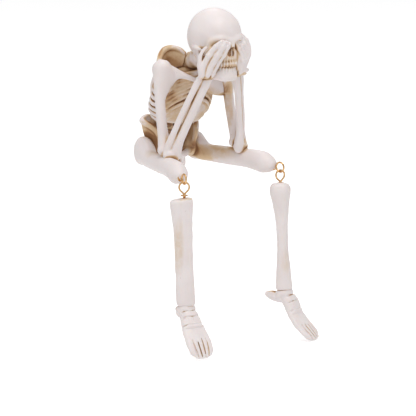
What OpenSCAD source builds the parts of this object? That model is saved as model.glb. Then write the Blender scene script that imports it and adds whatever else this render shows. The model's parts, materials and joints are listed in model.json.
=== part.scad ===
// Seated skeleton figure for a shelf edge, with hands over the eyes and
// lower legs that dangle from interlocked screw eyes.
// Millimetres. +Z up, the figure faces -Y, its left side is +X.
// Origin: on the mid-plane, in the seat plane, below the hip joints.

/* [Thighs] */
// Sideways distance from the mid-plane to the knee screw eye
knee_x = 34.2; // [32:0.1:36]
// Forward distance from the hip line to the knee face
knee_y = 59.8; // [56:0.1:64]
// Height of the knee screw eye above the seat plane
knee_z = 5.1; // [4.5:0.1:6]
// Splay of each thigh from straight ahead, degrees
thigh_splay = 11.5; // [9:0.5:14]

/* [Lower legs] */
// Length of the shin casting, collar face to ankle seam
shin_len = 64; // [56:0.5:70]
// Length of the foot from ankle front to toe tips
foot_len = 31; // [28:0.5:36]
// How far the toes point down from horizontal, degrees
foot_pitch = 48; // [35:1:55]
// Turn of the left foot away from the mid-plane, degrees
left_foot_turn = 20; // [0:1:24]
// Turn of the right foot away from the mid-plane, degrees
right_foot_turn = 5; // [0:1:24]

/* [Knee hardware] */
// Wire diameter of the screw eyes
wire_d = 1.05; // [0.9:0.05:1.15]
// Outside diameter of the round thigh eye
eye_od = 6.8; // [6.4:0.1:7.2]
// Outside width of the drop-shaped shin eye
drop_w = 6.9; // [6.4:0.1:7.2]
// Length of each threaded shank inside the resin
shank_len = 8; // [6:0.5:10]
// Collar diameter
collar_d = 4.4; // [3.8:0.1:5]
// Turn of the shin eyes about the vertical, degrees
shin_eye_turn = -18; // [-22:1:0]

/* [Head] */
// Width of the braincase
skull_w = 29.6; // [28:0.2:31]
// Length of the braincase, front to back
skull_l = 36; // [34:0.2:38]
// Height of the braincase
skull_h = 31.6; // [30:0.2:33]

/* [Assembly pins] */
// Diameter of the steel locating pins
pin_d = 1.6; // [1.2:0.1:2]
// Glue gap left between neighbouring castings
gap = 0.08; // [0.06:0.01:0.15]

/* [Hidden] */

bone = [0.93, 0.90, 0.88];
brass = [0.83, 0.62, 0.30];
steel = [0.72, 0.73, 0.75];
slack = 0.05;                      // running clearance, radius
pin_r = pin_d / 2;
wrist_pin_r = 0.6;
wire_r = wire_d / 2;
shank_r = 0.9;                     // over the thread crests

// ---------- helpers ----------
// Paired pieces are drawn on the left; side is 1 for left, -1 for right.
// "grow" swells a shape by a glue gap, to cut it out of a neighbour.
function unit(v) = v / norm(v);
function flip(p, side) = [side * p[0], p[1], p[2]];
function flip_all(stations, side) = [for (q = stations) [flip(q[0], side), q[1], q[2]]];
function tangent(stations, i) =
  unit(stations[min(i + 1, len(stations) - 1)][0] - stations[max(i - 1, 0)][0]);
// Unit vector square to the axis, nearest to ref
function across(axis, ref) = unit(ref - axis * (ref * axis));

// Places children with local x and z along the given directions
module frame(origin, x_dir, z_dir) {
  zz = unit(z_dir);
  xx = across(zz, x_dir);
  yy = cross(zz, xx);
  multmatrix([[xx[0], yy[0], zz[0], origin[0]],
              [xx[1], yy[1], zz[1], origin[1]],
              [xx[2], yy[2], zz[2], origin[2]], [0, 0, 0, 1]]) children();
}

// Closed skin over rings of equally many points, with flat ends
module skin(rings, convexity) {
  n = len(rings[0]);
  last = len(rings) - 1;
  faces = concat(
    [for (i = [0 : last - 1]) for (k = [0 : n - 1])
      [i * n + k, (i + 1) * n + k, (i + 1) * n + (k + 1) % n]],
    [for (i = [0 : last - 1]) for (k = [0 : n - 1])
      [i * n + k, (i + 1) * n + (k + 1) % n, i * n + (k + 1) % n]],
    [[for (k = [0 : n - 1]) k]],
    [[for (k = [n - 1 : -1 : 0]) last * n + k]]);
  polyhedron(points = [for (r = rings) for (p = r) p], faces = faces, convexity = convexity);
}

// Loft through elliptical stations. Every station table has the columns
// [[x, y, z] of the centre, half size along ref, half size square to ref].
module loft(stations, side = 1, ref = [1, 0, 0], facets = 14, grow = 0) {
  line = flip_all(stations, side);
  last = len(line) - 1;
  skin([for (i = [0 : last])
    let (axis = tangent(line, i), wide = across(axis, flip(ref, side)), high = cross(axis, wide),
         end = i == 0 ? -grow : i == last ? grow : 0,
         centre = line[i][0] + end * axis)
    [for (k = [0 : facets - 1])
      centre + (line[i][1] + grow) * cos(360 * k / facets) * wide
             + (line[i][2] + grow) * sin(360 * k / facets) * high]], 6);
}

// Takes its children as one finished casting surface
module cast() { resize([0, 0, 0]) union() children(); }

// Cuts away everything below the seat plane
module seat_trim() {
  difference() { children(); translate([-60, -80, -20]) cube([120, 160, 20]); }
}

// Clearance hole for a pin or shank
module hole(start, dir, depth, radius = pin_r, ref = [0, 0, 1], facets = 24)
  frame(start, ref, dir) cylinder(r = radius + slack, h = depth, $fn = facets);

// ---------- head ----------
head_c = [0, -45.4, 84.7];
braincase = [for (i = [0 : 10]) let (lat = -84 + 168 * i / 10)
  [head_c + [0, 0, skull_h / 2 * sin(lat)], skull_w / 2 * cos(lat), skull_l / 2 * cos(lat)]];
// brow, cheek and upper jaw
face = [[[0, -51, 86.5], 10.4, 9.6], [[0, -51.5, 82.5], 12.6, 10.8], [[0, -52, 78], 13, 10.2],
  [[0, -53.5, 74], 10.2, 8.6], [[0, -54.6, 70.5], 7.6, 7.2], [[0, -54.8, 68.2], 7, 6.9]];
nose_corners = [[0, -62.4, 77.6], [-1.6, -62.4, 73.6], [1.6, -62.4, 73.6]];
neck_pin_base = [0, -38, 66.2];
neck_dir = unit([0, -8, 7]);

module neck_hole(back) hole(neck_pin_base - back * neck_dir, neck_dir, 13, ref = [1, 0, 0]);

module skull_shape(grow = 0) {
  loft(braincase, facets = 24, grow = grow);
  loft(face, facets = 20, grow = grow);
}
module skull() color(bone) difference() {
  cast() difference() {
    skull_shape();
    for (side = [-1, 1]) {
      // eye socket
      translate([side * 6.2, -61.8, 80.2]) sphere(r = 4.1, $fn = 24);
      // cheek hollow
      translate([side * 14.6, -50.5, 72.5]) sphere(r = 4.6, $fn = 20);
    }
    // nose opening
    hull() for (p = nose_corners) translate(p) sphere(r = 1.2, $fn = 14);
    // palate hollow
    translate([-4.5, -49.5, 60]) cube([9, 9, 12.5]);
  }
  neck_hole(0);
}

// left half of the jaw, back end to near the chin
jaw_half = [[[11.2, -46.2, 75.6], 1.1, 1.6], [[11.3, -47, 72], 1.3, 2.7],
  [[10.7, -48.2, 67.6], 1.4, 3.3], [[9.4, -51.4, 64.6], 1.5, 3.3],
  [[7.2, -56, 63.7], 1.6, 3.6], [[4.2, -59, 63.6], 1.8, 3.9]];
chin = [[0, -59.9, 63.6], 1.9, 4.1];
jaw_line = concat(flip_all(jaw_half, -1), [chin],
  [for (i = [len(jaw_half) - 1 : -1 : 0]) jaw_half[i]]);

module jaw_shape(grow = 0) loft(jaw_line, 1, [0, -1, 0.12], 12, grow);
module jaw() color(bone) cast() difference() {
  jaw_shape();
  skull_shape(gap);
}

// ---------- spine ----------
// disc centres, from the pelvis up to the skull
spine_line = [[0, 3.4, 8], [0, 3, 14], [0, 2.8, 20], [0, 2.8, 25], [0, 3, 30], [0, 3, 35],
  [0, 2, 40], [0, 0, 45], [0, -2.8, 50], [0, -6.6, 54.6], [0, -12, 58.8], [0, -18, 62],
  [0, -24.6, 64.2], [0, -31.2, 65.8], [0, -38, 68.2], [0, -40.5, 70.5]];
waist_ratio = 0.84;                // waist radius over disc radius
function disc_r(i) = i < 3 ? 3.4 : i < 7 ? 3.1 : i < 12 ? 2.7 : 2.3;

// Alternating discs and waists along the column
module spine_shape(grow = 0) {
  last = len(spine_line) - 1;
  loft([for (i = [0 : 2 * last])
    let (k = floor(i / 2), here = spine_line[k], next = spine_line[min(k + 1, last)],
         r = disc_r(k) * (i % 2 == 0 ? 1 : waist_ratio))
    [here + (i % 2) / 2 * (next - here), r, r]], facets = 12, grow = grow);
}
module spine() color(bone) difference() {
  cast() difference() { spine_shape(); skull_shape(gap); }
  neck_hole(3.5);
}

// ---------- rib cage ----------
// [height, centre y, half width, half depth]
cage = [[27.8, -8.8, 8.6, 7.4], [29.6, -9, 12.4, 10.4], [33, -9.6, 15.8, 13],
  [37, -10.4, 18, 14.6], [41, -11.6, 18.8, 15.2], [45, -13, 18.6, 15],
  [49, -14.4, 18.2, 14.6], [53, -16.2, 17.2, 14], [56.5, -18.4, 15.2, 12.8],
  [59.5, -21.2, 12, 10.6], [62, -24, 8, 7.6], [63.2, -25.4, 5, 5]];
rib_n = 8;
rib_pitch = 3.35;
rib_rise = 1.25;                   // how far each rib stands out of the gaps
rib_profile = [0, 0.8, 1, 0.8];    // share of the rise, row by row over one pitch
breastbone = 1.1;                  // share of the rise at the front strip
rib_low = 34.2;                    // height of the lowest full row
rib_points = 32;                   // points round each row
cage_clearance = 1.7;              // smooth cutting shape beyond the cage table

function cage_at(z, column) = lookup(z, [for (q = cage) [q[0], q[column]]]);
// Rows follow the ribs, low at the front and high at the spine
function rib_drop(z) = 4.4 - (z - 33) * 0.1;
function rib_row(height, scale, drop, relief = 0, front = 0) = [for (i = [0 : rib_points - 1])
  let (a = 360 * i / rib_points, z = height + drop * sin(a),
       rise = max(relief, abs(a - 270) < 9 ? front : 0) * rib_rise)
  [scale * (cage_at(z, 2) + rise) * cos(a),
   cage_at(z, 1) + scale * (cage_at(z, 3) + rise) * sin(a), z]];

// Smooth cage, cut out of the castings around the ribs
module rib_clearance()
  loft([for (q = cage) [[0, q[1], q[0]], q[2], q[3]]], facets = 26, grow = gap + cage_clearance);

module rib_shell() {
  per_rib = len(rib_profile);
  steps = per_rib * rib_n;
  top = rib_low + steps * rib_pitch / per_rib;
  skin(concat(
    [rib_row(rib_low - 3.4, 0.3, 0), rib_row(rib_low - 2.6, 0.72, 2.4)],
    [for (r = [0 : steps]) let (z = rib_low + r * rib_pitch / per_rib)
      rib_row(z, 1, rib_drop(z), rib_profile[r % per_rib], breastbone)],
    [rib_row(top + 1.5, 0.74, 1.4), rib_row(top + 2.3, 0.3, 0)]), 10);
}
module rib_cage() color(bone) cast() difference() {
  rib_shell();
  spine_shape(gap);
}

// ---------- pelvis ----------
// wing, rising from the hip socket to the crest
wing = [[[12.2, -2, 7], 4, 4], [[12.6, -1.6, 12.4], 3, 4.6], [[13.4, -0.6, 18], 1.9, 6.4],
  [[14.2, 0, 23.6], 1.3, 8.2], [[14.9, -0.4, 28.6], 1.2, 9], [[15.2, -0.8, 31.6], 1.6, 8.2],
  [[15.4, -1, 33.6], 1.5, 6], [[15.4, -1, 34.6], 0.8, 3.4]];
pubic_bar = [[[13.4, -2.6, 10.4], 3, 3], [[9, -6.8, 9.8], 2.4, 2.4],
  [[4.6, -9.6, 9], 2.2, 2.6], [[-0.4, -10.2, 8.6], 2.1, 2.8]];
sit_bar = [[[3.6, -9.4, 7.6], 1.8, 1.6], [[6, -6, 3.8], 2, 2.2],
  [[8, -1.6, 3], 3, 2.8], [[9.6, 1.4, 6], 2.8, 3]];
sacrum = [[[0, 2.4, 30], 7.4, 1.8], [[0, 3, 25.6], 9, 2.9], [[0, 3.6, 20], 8, 3],
  [[0, 4, 13], 5.4, 2.7], [[0, 3.6, 6], 3.4, 2.2], [[0, 2, 2.4], 1.8, 1.4]];
hip_hole_start = [9, -2.6, 11.5];

module hip_hole(side) hole(flip(hip_hole_start, side), [side, 0, 0], 12, ref = [0, 1, 0]);

module pelvis_shape(grow = 0) {
  for (side = [-1, 1]) {
    loft(wing, side, [0.6, 0.8, 0], 16, grow);
    loft(pubic_bar, side, [0, 0, 1], 10, grow);
    loft(sit_bar, side, [1, 0, 0], 10, grow);
  }
  loft(sacrum, grow = grow);
}
module pelvis() color(bone) difference() {
  cast() seat_trim() difference() {
    union() {
      pelvis_shape();
      // low block on the seat plane
      translate([-7.6, -8, 0]) cube([15.2, 12, 3.4]);
    }
    spine_shape(gap);
    rib_clearance();
  }
  for (side = [-1, 1]) hip_hole(side);
}

// ---------- shoulders and upper arms ----------
// thin curved plate from the upper inner corner down to the tip
blade_plate = [[[13, -21.6, 76.2], 0.8, 2.2], [[13.6, -19.6, 74.2], 1.1, 5],
  [[15.4, -15.6, 68.8], 1.3, 7.4], [[17, -10, 61.6], 1.4, 7], [[18, -4.6, 53.6], 1.5, 4.8],
  [[18.2, -1.6, 47], 1.4, 2.8], [[17.8, -0.4, 44], 0.8, 1.2]];
// ridge of the blade, out to the point of the shoulder
blade_ridge = [[[14, -10, 66.6], 0.9, 0.9], [[17.6, -15.6, 69.2], 1.5, 1.4],
  [[21.4, -21.4, 69.6], 2, 1.5], [[24, -25.8, 68.2], 2.2, 1.6], [[24.2, -27.4, 67.2], 1.2, 1]];
shoulder = [24.6, -26.4, 63.4];
// upper arm, shoulder to elbow
arm_line = [[[24.8, -26.6, 67.4], 2.6, 2.6], [[24.8, -26.9, 65], 4.2, 4],
  [[25, -27.2, 60], 4.2, 4], [[25.2, -27.8, 54], 3.3, 3.3], [[25.6, -29, 46], 2.9, 2.9],
  [[26, -30.2, 36], 2.9, 2.9], [[26.2, -31.4, 27], 3.3, 3.2], [[26.2, -32.4, 21], 4.2, 3.6],
  [[26, -33, 17.4], 4.3, 3.6], [[26, -33.2, 15.8], 3, 2.6]];
// collarbone, shoulder to breastbone
collarbone_line = [[[24, -28.6, 62.2], 1.8, 3.8], [[21, -30, 62], 2.2, 4.8],
  [[17, -32, 61], 2.1, 3.9], [[11.6, -34.6, 59.4], 2, 2.6], [[6, -36.2, 58], 1.8, 2.1],
  [[1, -36.9, 57], 1.6, 1.9]];
shoulder_hole_start = [15, -19.5, 63.4];
shoulder_pin_dir = [1, -0.55, 0];

module shoulder_hole(side)
  hole(flip(shoulder_hole_start, side), flip(shoulder_pin_dir, side), 12);

module blade_shape(side, grow = 0) {
  loft(blade_plate, side, [0.86, 0.4, 0.3], 12, grow);
  loft(blade_ridge, side, [0, 0, 1], 10, grow);
}
module blade(side) color(bone) difference() {
  cast() difference() {
    blade_shape(side);
    rib_clearance();
    spine_shape(gap);
    arm_shape(side, gap);
  }
  shoulder_hole(side);
}
module arm_shape(side, grow = 0) {
  translate(flip(shoulder, side)) sphere(r = 4.9 + grow, $fn = 28);
  loft(arm_line, side, grow = grow);
}
module upper_arm(side) color(bone) difference() {
  cast() difference() {
    arm_shape(side);
    rib_clearance();
    thigh_shape(side, gap);
  }
  shoulder_hole(side);
}
module collarbone(side) color(bone) cast() difference() {
  loft(collarbone_line, side, [0, -1, 0], 12);
  arm_shape(side, gap);
  blade_shape(side, gap);
  rib_clearance();
  hand_shape(side, gap);
  forearm_shape(side, gap);
}

// ---------- forearms and hands ----------
wrist = [12.4, -54, 61.4];
forearm_dir = unit(wrist - [25.4, -39.4, 17]);
forearm_wide = [0.917, 0.399, 0];  // long axis of the forearm's section
// elbow to wrist
forearm_line = [[[25.9, -38.2, 13.8], 3.4, 2.4], [[25.6, -38.6, 15.6], 5.4, 3.8],
  [[25.2, -39.4, 18.4], 5.2, 3.7], [[23.8, -41.2, 25], 4.3, 2.7], [[20.6, -45, 36], 4.2, 2.3],
  [[16.8, -49.4, 48], 4.3, 2.4], [[13.8, -52.6, 57], 4.6, 2.7], [[12.7, -53.7, 60.4], 4.4, 2.6]];
forearm_mid = [19.6, -46.2, 39.2];

module wrist_hole(side)
  hole(flip(wrist - 5 * forearm_dir, side), flip(forearm_dir, side), 10, wrist_pin_r, facets = 20);

module forearm_shape(side, grow = 0) loft(forearm_line, side, forearm_wide, 14, grow);
module forearm(side) color(bone) difference() {
  cast() difference() {
    forearm_shape(side);
    // long grooves front and back, set toward the figure's right on both arms
    for (face_side = [-1, 1])
      frame(flip(forearm_mid, side), flip(forearm_wide, side), flip(forearm_dir, side))
        translate([-side * 0.9, face_side * 3.1, -17]) cylinder(r = 1.0, h = 34, $fn = 16);
    arm_shape(side, gap);
    thigh_shape(side, gap);
  }
  wrist_hole(side);
}

palm = [[[12.3, -54.1, 61.7], 4.2, 2.5], [[12.4, -55.2, 64.4], 5, 2.6],
  [[12, -57.6, 68], 5.6, 2.5], [[11, -60.6, 71.6], 5.6, 2.2], [[10.4, -62, 73.6], 5, 1.6]];
thumb = [[[16.4, -54.4, 65], 1.5, 1.4], [[17.6, -55.4, 70], 1.3, 1.2],
  [[17.3, -56.8, 76], 1.15, 1.1], [[15.6, -58.6, 81], 0.8, 0.7]];
finger_pitch = 2.4;
// Knuckle to tip; 0 is the index finger, 3 the little finger
function finger(i) = let (o = i * finger_pitch) [
  [[15.8 - o * 0.95, -58 - o * 0.3, 67.2 - o * 0.1], 1.45, 1.5],
  [[14.2 - o * 0.9, -62 - o * 0.34, 73 + o * 0.02], 1.45, 1.4],
  [[11.6 - o * 0.86, -65 - o * 0.14, 79.2 - o * 0.1], 1.35, 1.3],
  [[9.2 - o * 0.8, -65.3, 84.4 - o * 0.1], 1.2, 1.1],
  [[8 - o * 0.76, -64.9, 86.8 - o * 0.4], 0.7, 0.6]];

module hand_shape(side, grow = 0) {
  loft(palm, side, [0.95, 0.1, 0], 14, grow);
  for (i = [0 : 3]) loft(finger(i), side, [0.9, 0.1, 0], 8, grow);
  loft(thumb, side, [0.9, 0.1, 0], 8, grow);
}
module hand(side) color(bone) difference() {
  cast() difference() {
    hand_shape(side);
    skull_shape(gap);
    jaw_shape(gap);
    forearm_shape(side, gap);
  }
  wrist_hole(side);
}

// ---------- thighs ----------
knee_dir = [sin(thigh_splay), -cos(thigh_splay), 0];
knee = [knee_x, -knee_y, knee_z];
knee_shift = knee - [34.2, -59.8, 5.1];   // from the knee the stations are drawn for
shank_hole_depth = shank_len + 0.6;
shank_hole_len = shank_len + 2;           // runs on past the casting's face
// hip to knee face
thigh_line = [[[19.6, 5, 10.6], 3, 4.6], [[19.6, 3.6, 10.8], 5.2, 8],
  [[19.6, 0.6, 11], 6.8, 10.2], [[19.9, -4, 11], 7, 10.6],
  [[20.9, -9.6, 10.4], 6.4, 9], [[22.6, -17, 9.2], 5.7, 6.9],
  [[25.6, -30, 8.6] + knee_shift * 0.45, 5.3, 5.8],
  [[28.8, -43, 8] + knee_shift * 0.7, 5.5, 5.9],
  [[31.4, -51.4, 7.3] + knee_shift, 6.3, 6.4],
  [knee - 3.2 * knee_dir + [0, 0, 0.7], 5.7, 5.7],
  [knee - knee_dir, 4, 4], [knee, 2.7, 2.7]];

module thigh_shape(side, grow = 0) loft(thigh_line, side, facets = 18, grow = grow);
module thigh(side) color(bone) difference() {
  cast() seat_trim() difference() { thigh_shape(side); pelvis_shape(gap); }
  hip_hole(side);
  hole(flip(knee - shank_hole_depth * knee_dir, side), flip(knee_dir, side),
       shank_hole_len, shank_r);
}

// ---------- pins ----------
module pin(start, dir, length, radius = pin_r)
  color(steel) frame(start, [0, 0.3, 1], dir) cylinder(r = radius, h = length, $fn = 24);
module neck_pin() pin(neck_pin_base - 3 * neck_dir, neck_dir, 11);
module shoulder_pin(side)
  pin(flip(shoulder_hole_start + 0.8 * unit(shoulder_pin_dir), side),
      flip(shoulder_pin_dir, side), 10.4);
module hip_pin(side) pin(flip(hip_hole_start + [0.4, 0, 0], side), [side, 0, 0], 11.2);
module wrist_pin(side)
  pin(flip(wrist - 4.6 * forearm_dir, side), flip(forearm_dir, side), 9, wrist_pin_r);

// ---------- knee hardware ----------
eye_r = eye_od / 2 - wire_r;        // centre-line radius of the thigh eye
drop_r = drop_w / 2 - wire_r;       // centre-line radius of the shin eye's round
eye_reach = 0.45 + 0.65;            // collar thickness, then bare neck up to the eye
eye_out = eye_reach + eye_od / 2;   // knee face to thigh eye centre
// where the two eyes bear on each other
hang = knee + eye_out * knee_dir - [0, 0, eye_r - 2 * wire_r - 0.06];
drop_l = 7.9;                       // bearing point to shin collar
leg_dir = unit([0.016, -0.042, -1]);
thread_root_r = 0.68;
thread_pitch = 0.7;

// Shank with shallow thread crests, running down -z from the collar
module shank(length) rotate_extrude($fn = 28) polygon(concat([[0, 0.4], [0.62, 0.4]],
  [for (i = [0 : floor((length - 0.8) / thread_pitch)])
    for (q = [[shank_r, 0], [thread_root_r, 0.33], [shank_r, 0.66]])
      [q[0], -0.45 - i * thread_pitch - q[1]]],
  [[0.5, -length + 0.1], [0, -length - 0.2]]));

module collar() {
  rim = collar_d / 2;
  rotate_extrude($fn = 36) polygon([[0.98, 0.02], [rim - 0.1, 0.02], [rim, 0.12],
    [rim, 0.3], [rim - 0.16, 0.44], [1.5, 0.44], [0.98, 0.44]]);
}

// Knee face frame: z out of the thigh, x up
module knee_frame(side) frame(flip(knee, side), [0, 0, 1], flip(knee_dir, side)) children();

module thigh_screw_eye(side) color(brass) knee_frame(side) {
  shank(shank_len);
  cylinder(r = wire_r * 0.98, h = eye_reach + wire_r, $fn = 24);
  translate([0, 0, eye_out]) rotate([90, 0, 0])
    rotate_extrude($fn = 48) translate([eye_r, 0]) circle(r = wire_r, $fn = 20);
}
module thigh_eye_collar(side) color(brass) knee_frame(side) collar();

// Hanging leg frame: z up the leg, x across the shin eye
module leg_frame(side) {
  turn = side * thigh_splay + shin_eye_turn;
  frame(flip(hang, side), [cos(turn), sin(turn), 0], -flip(leg_dir, side)) children();
}

// Drop-shaped eye: round over the top, straight sides meeting at the shank
module drop_wire() {
  leave = -42;                       // angle where the sides leave the round
  top = [drop_r * cos(leave), drop_r * sin(leave) - drop_r];
  low = [0.46, -drop_l + 1.35];
  lap = 0.06;                        // each straight side overlaps its neighbours
  translate([0, 0, -drop_r]) rotate([90, 0, 0]) rotate([0, 0, leave])
    rotate_extrude(angle = 180 - 2 * leave, $fn = 48)
      translate([drop_r, 0]) circle(r = wire_r, $fn = 20);
  for (x = [-1, 1]) {
    run = [x * (low[0] - top[0]), 0, low[1] - top[1]];
    frame([x * top[0], 0, top[1]] - lap * unit(run), [0, 1, 0], run)
      cylinder(r = wire_r * 0.985, h = norm(run) + 2 * lap, $fn = 20);
    translate([x * low[0], 0, low[1]]) sphere(r = wire_r, $fn = 20);
  }
  translate([0, 0, -drop_l + 0.1]) cylinder(r = 0.84, h = 1.5, $fn = 24);
}
module shin_screw_eye(side) color(brass) leg_frame(side) {
  drop_wire();
  translate([0, 0, -drop_l]) shank(shank_len);
}
module shin_eye_collar(side) color(brass) leg_frame(side) translate([0, 0, -drop_l]) collar();

// ---------- shins ----------
shin_top = hang + drop_l * leg_dir;
shin_wide = [0.72, 0.69, 0];         // long axis of the shin's section
// knee to ankle
shin_line = [[[0, 0, -0.02], 2.8, 2.8], [[0, 0, -0.7], 4.6, 4.6], [[0, 0, -2.4], 6.5, 6.2],
  [[0, 0, -5.2], 6.9, 6.4], [[0.1, 0, -10], 6.7, 5.4], [[0.3, 0.1, -18], 6, 4.5],
  [[0.4, 0.2, -28], 5.6, 4], [[0.4, 0.2, -0.58 * shin_len], 5.4, 3.9],
  [[0.2, 0, -0.74 * shin_len], 5.5, 4.2], [[0, 0, -0.88 * shin_len], 5.7, 4.8],
  [[0, 0, -shin_len + 2], 5.8, 5.2], [[0, 0, -shin_len], 5.5, 4.9]];

// Shin frame, turned with the foot: z up, x to the figure's left, y back
module shin_frame(side) {
  turn = side * (side > 0 ? left_foot_turn : right_foot_turn);
  frame(flip(shin_top, side), [cos(turn), sin(turn), 0], -flip(leg_dir, side)) children();
}
// Upright cylinder on the shin's axis, standing on height z
module upright(z, radius, length) translate([0, 0, z]) cylinder(r = radius, h = length, $fn = 24);

module shin(side) color(bone) shin_frame(side) difference() {
  cast() difference() {
    loft(shin_line, side, shin_wide, 16);
    // shallow groove down the outer front
    translate([side * 4.8, -3.1, -0.5 * shin_len - 17]) cylinder(r = 1.3, h = 34, $fn = 16);
  }
  upright(-shank_hole_depth, shank_r + slack, shank_hole_len);
  upright(-shin_len - 1, pin_r + slack, 6.2);
}

// ---------- feet ----------
foot_top = -shin_len - gap;
toe_dir = [0, -cos(foot_pitch), -sin(foot_pitch)];
instep_dir = [0, -sin(foot_pitch), cos(foot_pitch)];   // out of the instep
ankle = [0, -0.6, foot_top - 4.2];
// Point at a share of the foot's length, sunk below the ankle line
function sole(share, sink) = ankle + share * foot_len * toe_dir - sink * instep_dir;

ankle_block = [[[0, 0, foot_top - 0.02], 4.8, 5.4], [[0, -0.2, foot_top - 2.4], 5.1, 5.6],
  [[0, -0.8, foot_top - 5], 5, 5.4], [[0, -1.4, foot_top - 7], 4.2, 4]];
// instep to toes
foot_line = [[ankle + [0, 2, -0.3], 4.3, 4], [sole(0.17, 0), 5.7, 4.7],
  [sole(0.36, 0.4), 6.6, 3.9], [sole(0.58, 0.7), 7.2, 3.3], [sole(0.78, 1), 7.4, 2.8],
  [sole(0.92, 1.3), 5.8, 2.2], [sole(0.985, 1.5), 4, 1.4], [sole(1, 1.5), 2.2, 0.7]];
heel = [[ankle + [0, 0, -0.5], 3.9, 3.9], [ankle + [0, 4.6, -0.6], 3.7, 3.7],
  [ankle + [0, 8.4, 0.5], 3, 3.1], [ankle + [0, 10.8, 1.6], 1.2, 1.3]];

module foot_shape(side) {
  loft(ankle_block, side, [0, 1, 0]);
  loft(foot_line, side, facets = 16);
  loft(heel, side, facets = 12);
}
module foot(side) color(bone) shin_frame(side) difference() {
  cast() difference() {
    foot_shape(side);
    translate([-20, -20, foot_top]) cube([40, 40, 12]);
    // grooves between the toes
    for (i = [-1 : 1]) frame(sole(0.5, -2.9) + [i * 3.4, 0, 0], [1, 0, 0], toe_dir)
      cylinder(r = 0.5, h = 0.6 * foot_len, $fn = 14);
  }
  upright(-shin_len - 5.4, pin_r + slack, 10);
}
module ankle_pin(side) color(steel) shin_frame(side) upright(-shin_len - 5, pin_r, 9.6);

// ---------- output ----------
skull();
jaw();
spine();
rib_cage();
pelvis();
blade(-1);  // right_shoulder_blade
blade(1);  // left_shoulder_blade
collarbone(-1);  // right_collarbone
collarbone(1);  // left_collarbone
upper_arm(-1);  // right_upper_arm
upper_arm(1);  // left_upper_arm
forearm(-1);  // right_forearm
forearm(1);  // left_forearm
hand(-1);  // right_hand
hand(1);  // left_hand
thigh(-1);  // right_thigh
thigh(1);  // left_thigh
neck_pin();
shoulder_pin(-1);  // right_shoulder_pin
shoulder_pin(1);  // left_shoulder_pin
hip_pin(-1);  // right_hip_pin
hip_pin(1);  // left_hip_pin
wrist_pin(-1);  // right_wrist_pin
wrist_pin(1);  // left_wrist_pin
thigh_screw_eye(-1);  // right_thigh_screw_eye
thigh_eye_collar(-1);  // right_thigh_eye_collar
shin_screw_eye(-1);  // right_shin_screw_eye
shin_eye_collar(-1);  // right_shin_eye_collar
shin(-1);  // right_shin
foot(-1);  // right_foot
ankle_pin(-1);  // right_ankle_pin
thigh_screw_eye(1);  // left_thigh_screw_eye
thigh_eye_collar(1);  // left_thigh_eye_collar
shin_screw_eye(1);  // left_shin_screw_eye
shin_eye_collar(1);  // left_shin_eye_collar
shin(1);  // left_shin
foot(1);  // left_foot
ankle_pin(1);  // left_ankle_pin
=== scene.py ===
"""Looks of a seated skeleton figure: antiqued resin bones, brass eyes, steel pins, pale studio.

It faces -Y with +Z up and its right side at -X. It sits at z = 0 with the hands up by the
jaw and the shins hanging below z = 0. The bones are sculpted as distance fields, in
millimetres, and turned into quad meshes in metres.
"""
import json
import math
from concurrent.futures import ThreadPoolExecutor
from itertools import product
from types import SimpleNamespace

import bpy
import numpy as np
from mathutils import Matrix, Vector

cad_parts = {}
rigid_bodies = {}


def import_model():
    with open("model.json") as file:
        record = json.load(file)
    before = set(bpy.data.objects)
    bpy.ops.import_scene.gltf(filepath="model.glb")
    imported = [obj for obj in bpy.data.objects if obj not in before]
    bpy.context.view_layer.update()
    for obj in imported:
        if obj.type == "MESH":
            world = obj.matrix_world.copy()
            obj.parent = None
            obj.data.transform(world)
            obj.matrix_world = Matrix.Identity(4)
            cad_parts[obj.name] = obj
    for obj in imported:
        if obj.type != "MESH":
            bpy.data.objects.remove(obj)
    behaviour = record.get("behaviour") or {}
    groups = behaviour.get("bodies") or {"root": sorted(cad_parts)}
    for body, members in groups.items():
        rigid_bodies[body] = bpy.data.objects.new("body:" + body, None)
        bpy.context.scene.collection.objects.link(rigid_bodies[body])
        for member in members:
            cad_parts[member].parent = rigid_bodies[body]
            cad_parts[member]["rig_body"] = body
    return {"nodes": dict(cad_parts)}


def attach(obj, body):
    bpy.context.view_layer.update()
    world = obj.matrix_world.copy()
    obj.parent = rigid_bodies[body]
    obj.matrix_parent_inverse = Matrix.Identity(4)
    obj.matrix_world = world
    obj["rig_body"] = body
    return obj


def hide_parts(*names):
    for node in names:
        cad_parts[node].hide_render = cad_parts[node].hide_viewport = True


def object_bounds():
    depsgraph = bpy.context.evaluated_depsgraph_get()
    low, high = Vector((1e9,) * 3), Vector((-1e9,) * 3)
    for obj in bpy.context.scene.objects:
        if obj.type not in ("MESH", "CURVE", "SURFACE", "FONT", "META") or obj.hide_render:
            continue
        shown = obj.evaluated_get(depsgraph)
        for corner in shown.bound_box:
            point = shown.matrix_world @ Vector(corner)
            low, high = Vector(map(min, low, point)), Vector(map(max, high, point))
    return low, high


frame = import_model()
cad_low, cad_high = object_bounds()

# ---------- distance fields ----------
F = np.float32
RIGHT, LEFT = -1, 1          # sign of x
X_AXIS, Y_AXIS, Z_AXIS = (1, 0, 0), (0, 1, 0), (0, 0, 1)
FAR = 6.0                    # distance that stands for empty space
MARGIN = 1.6                 # room around a bone's box
REACH = 1.2                  # how far outside a shape its distance is worked out
LEAST_RADIUS = 0.08
SPECK = 60                   # separate parts with fewer vertices are dropped


def smooth_min(a, b, blend):
    if blend <= 0:
        return np.minimum(a, b)
    h = np.maximum(blend - np.abs(a - b), 0) / blend
    return np.minimum(a, b) - h * h * (blend * 0.25)


def unit(v):
    v = np.asarray(v, float)
    return v / max(np.linalg.norm(v), 1e-12)


def dot(offsets, v):
    x, y, z = offsets
    return x * F(v[0]) + y * F(v[1]) + z * F(v[2])


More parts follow.
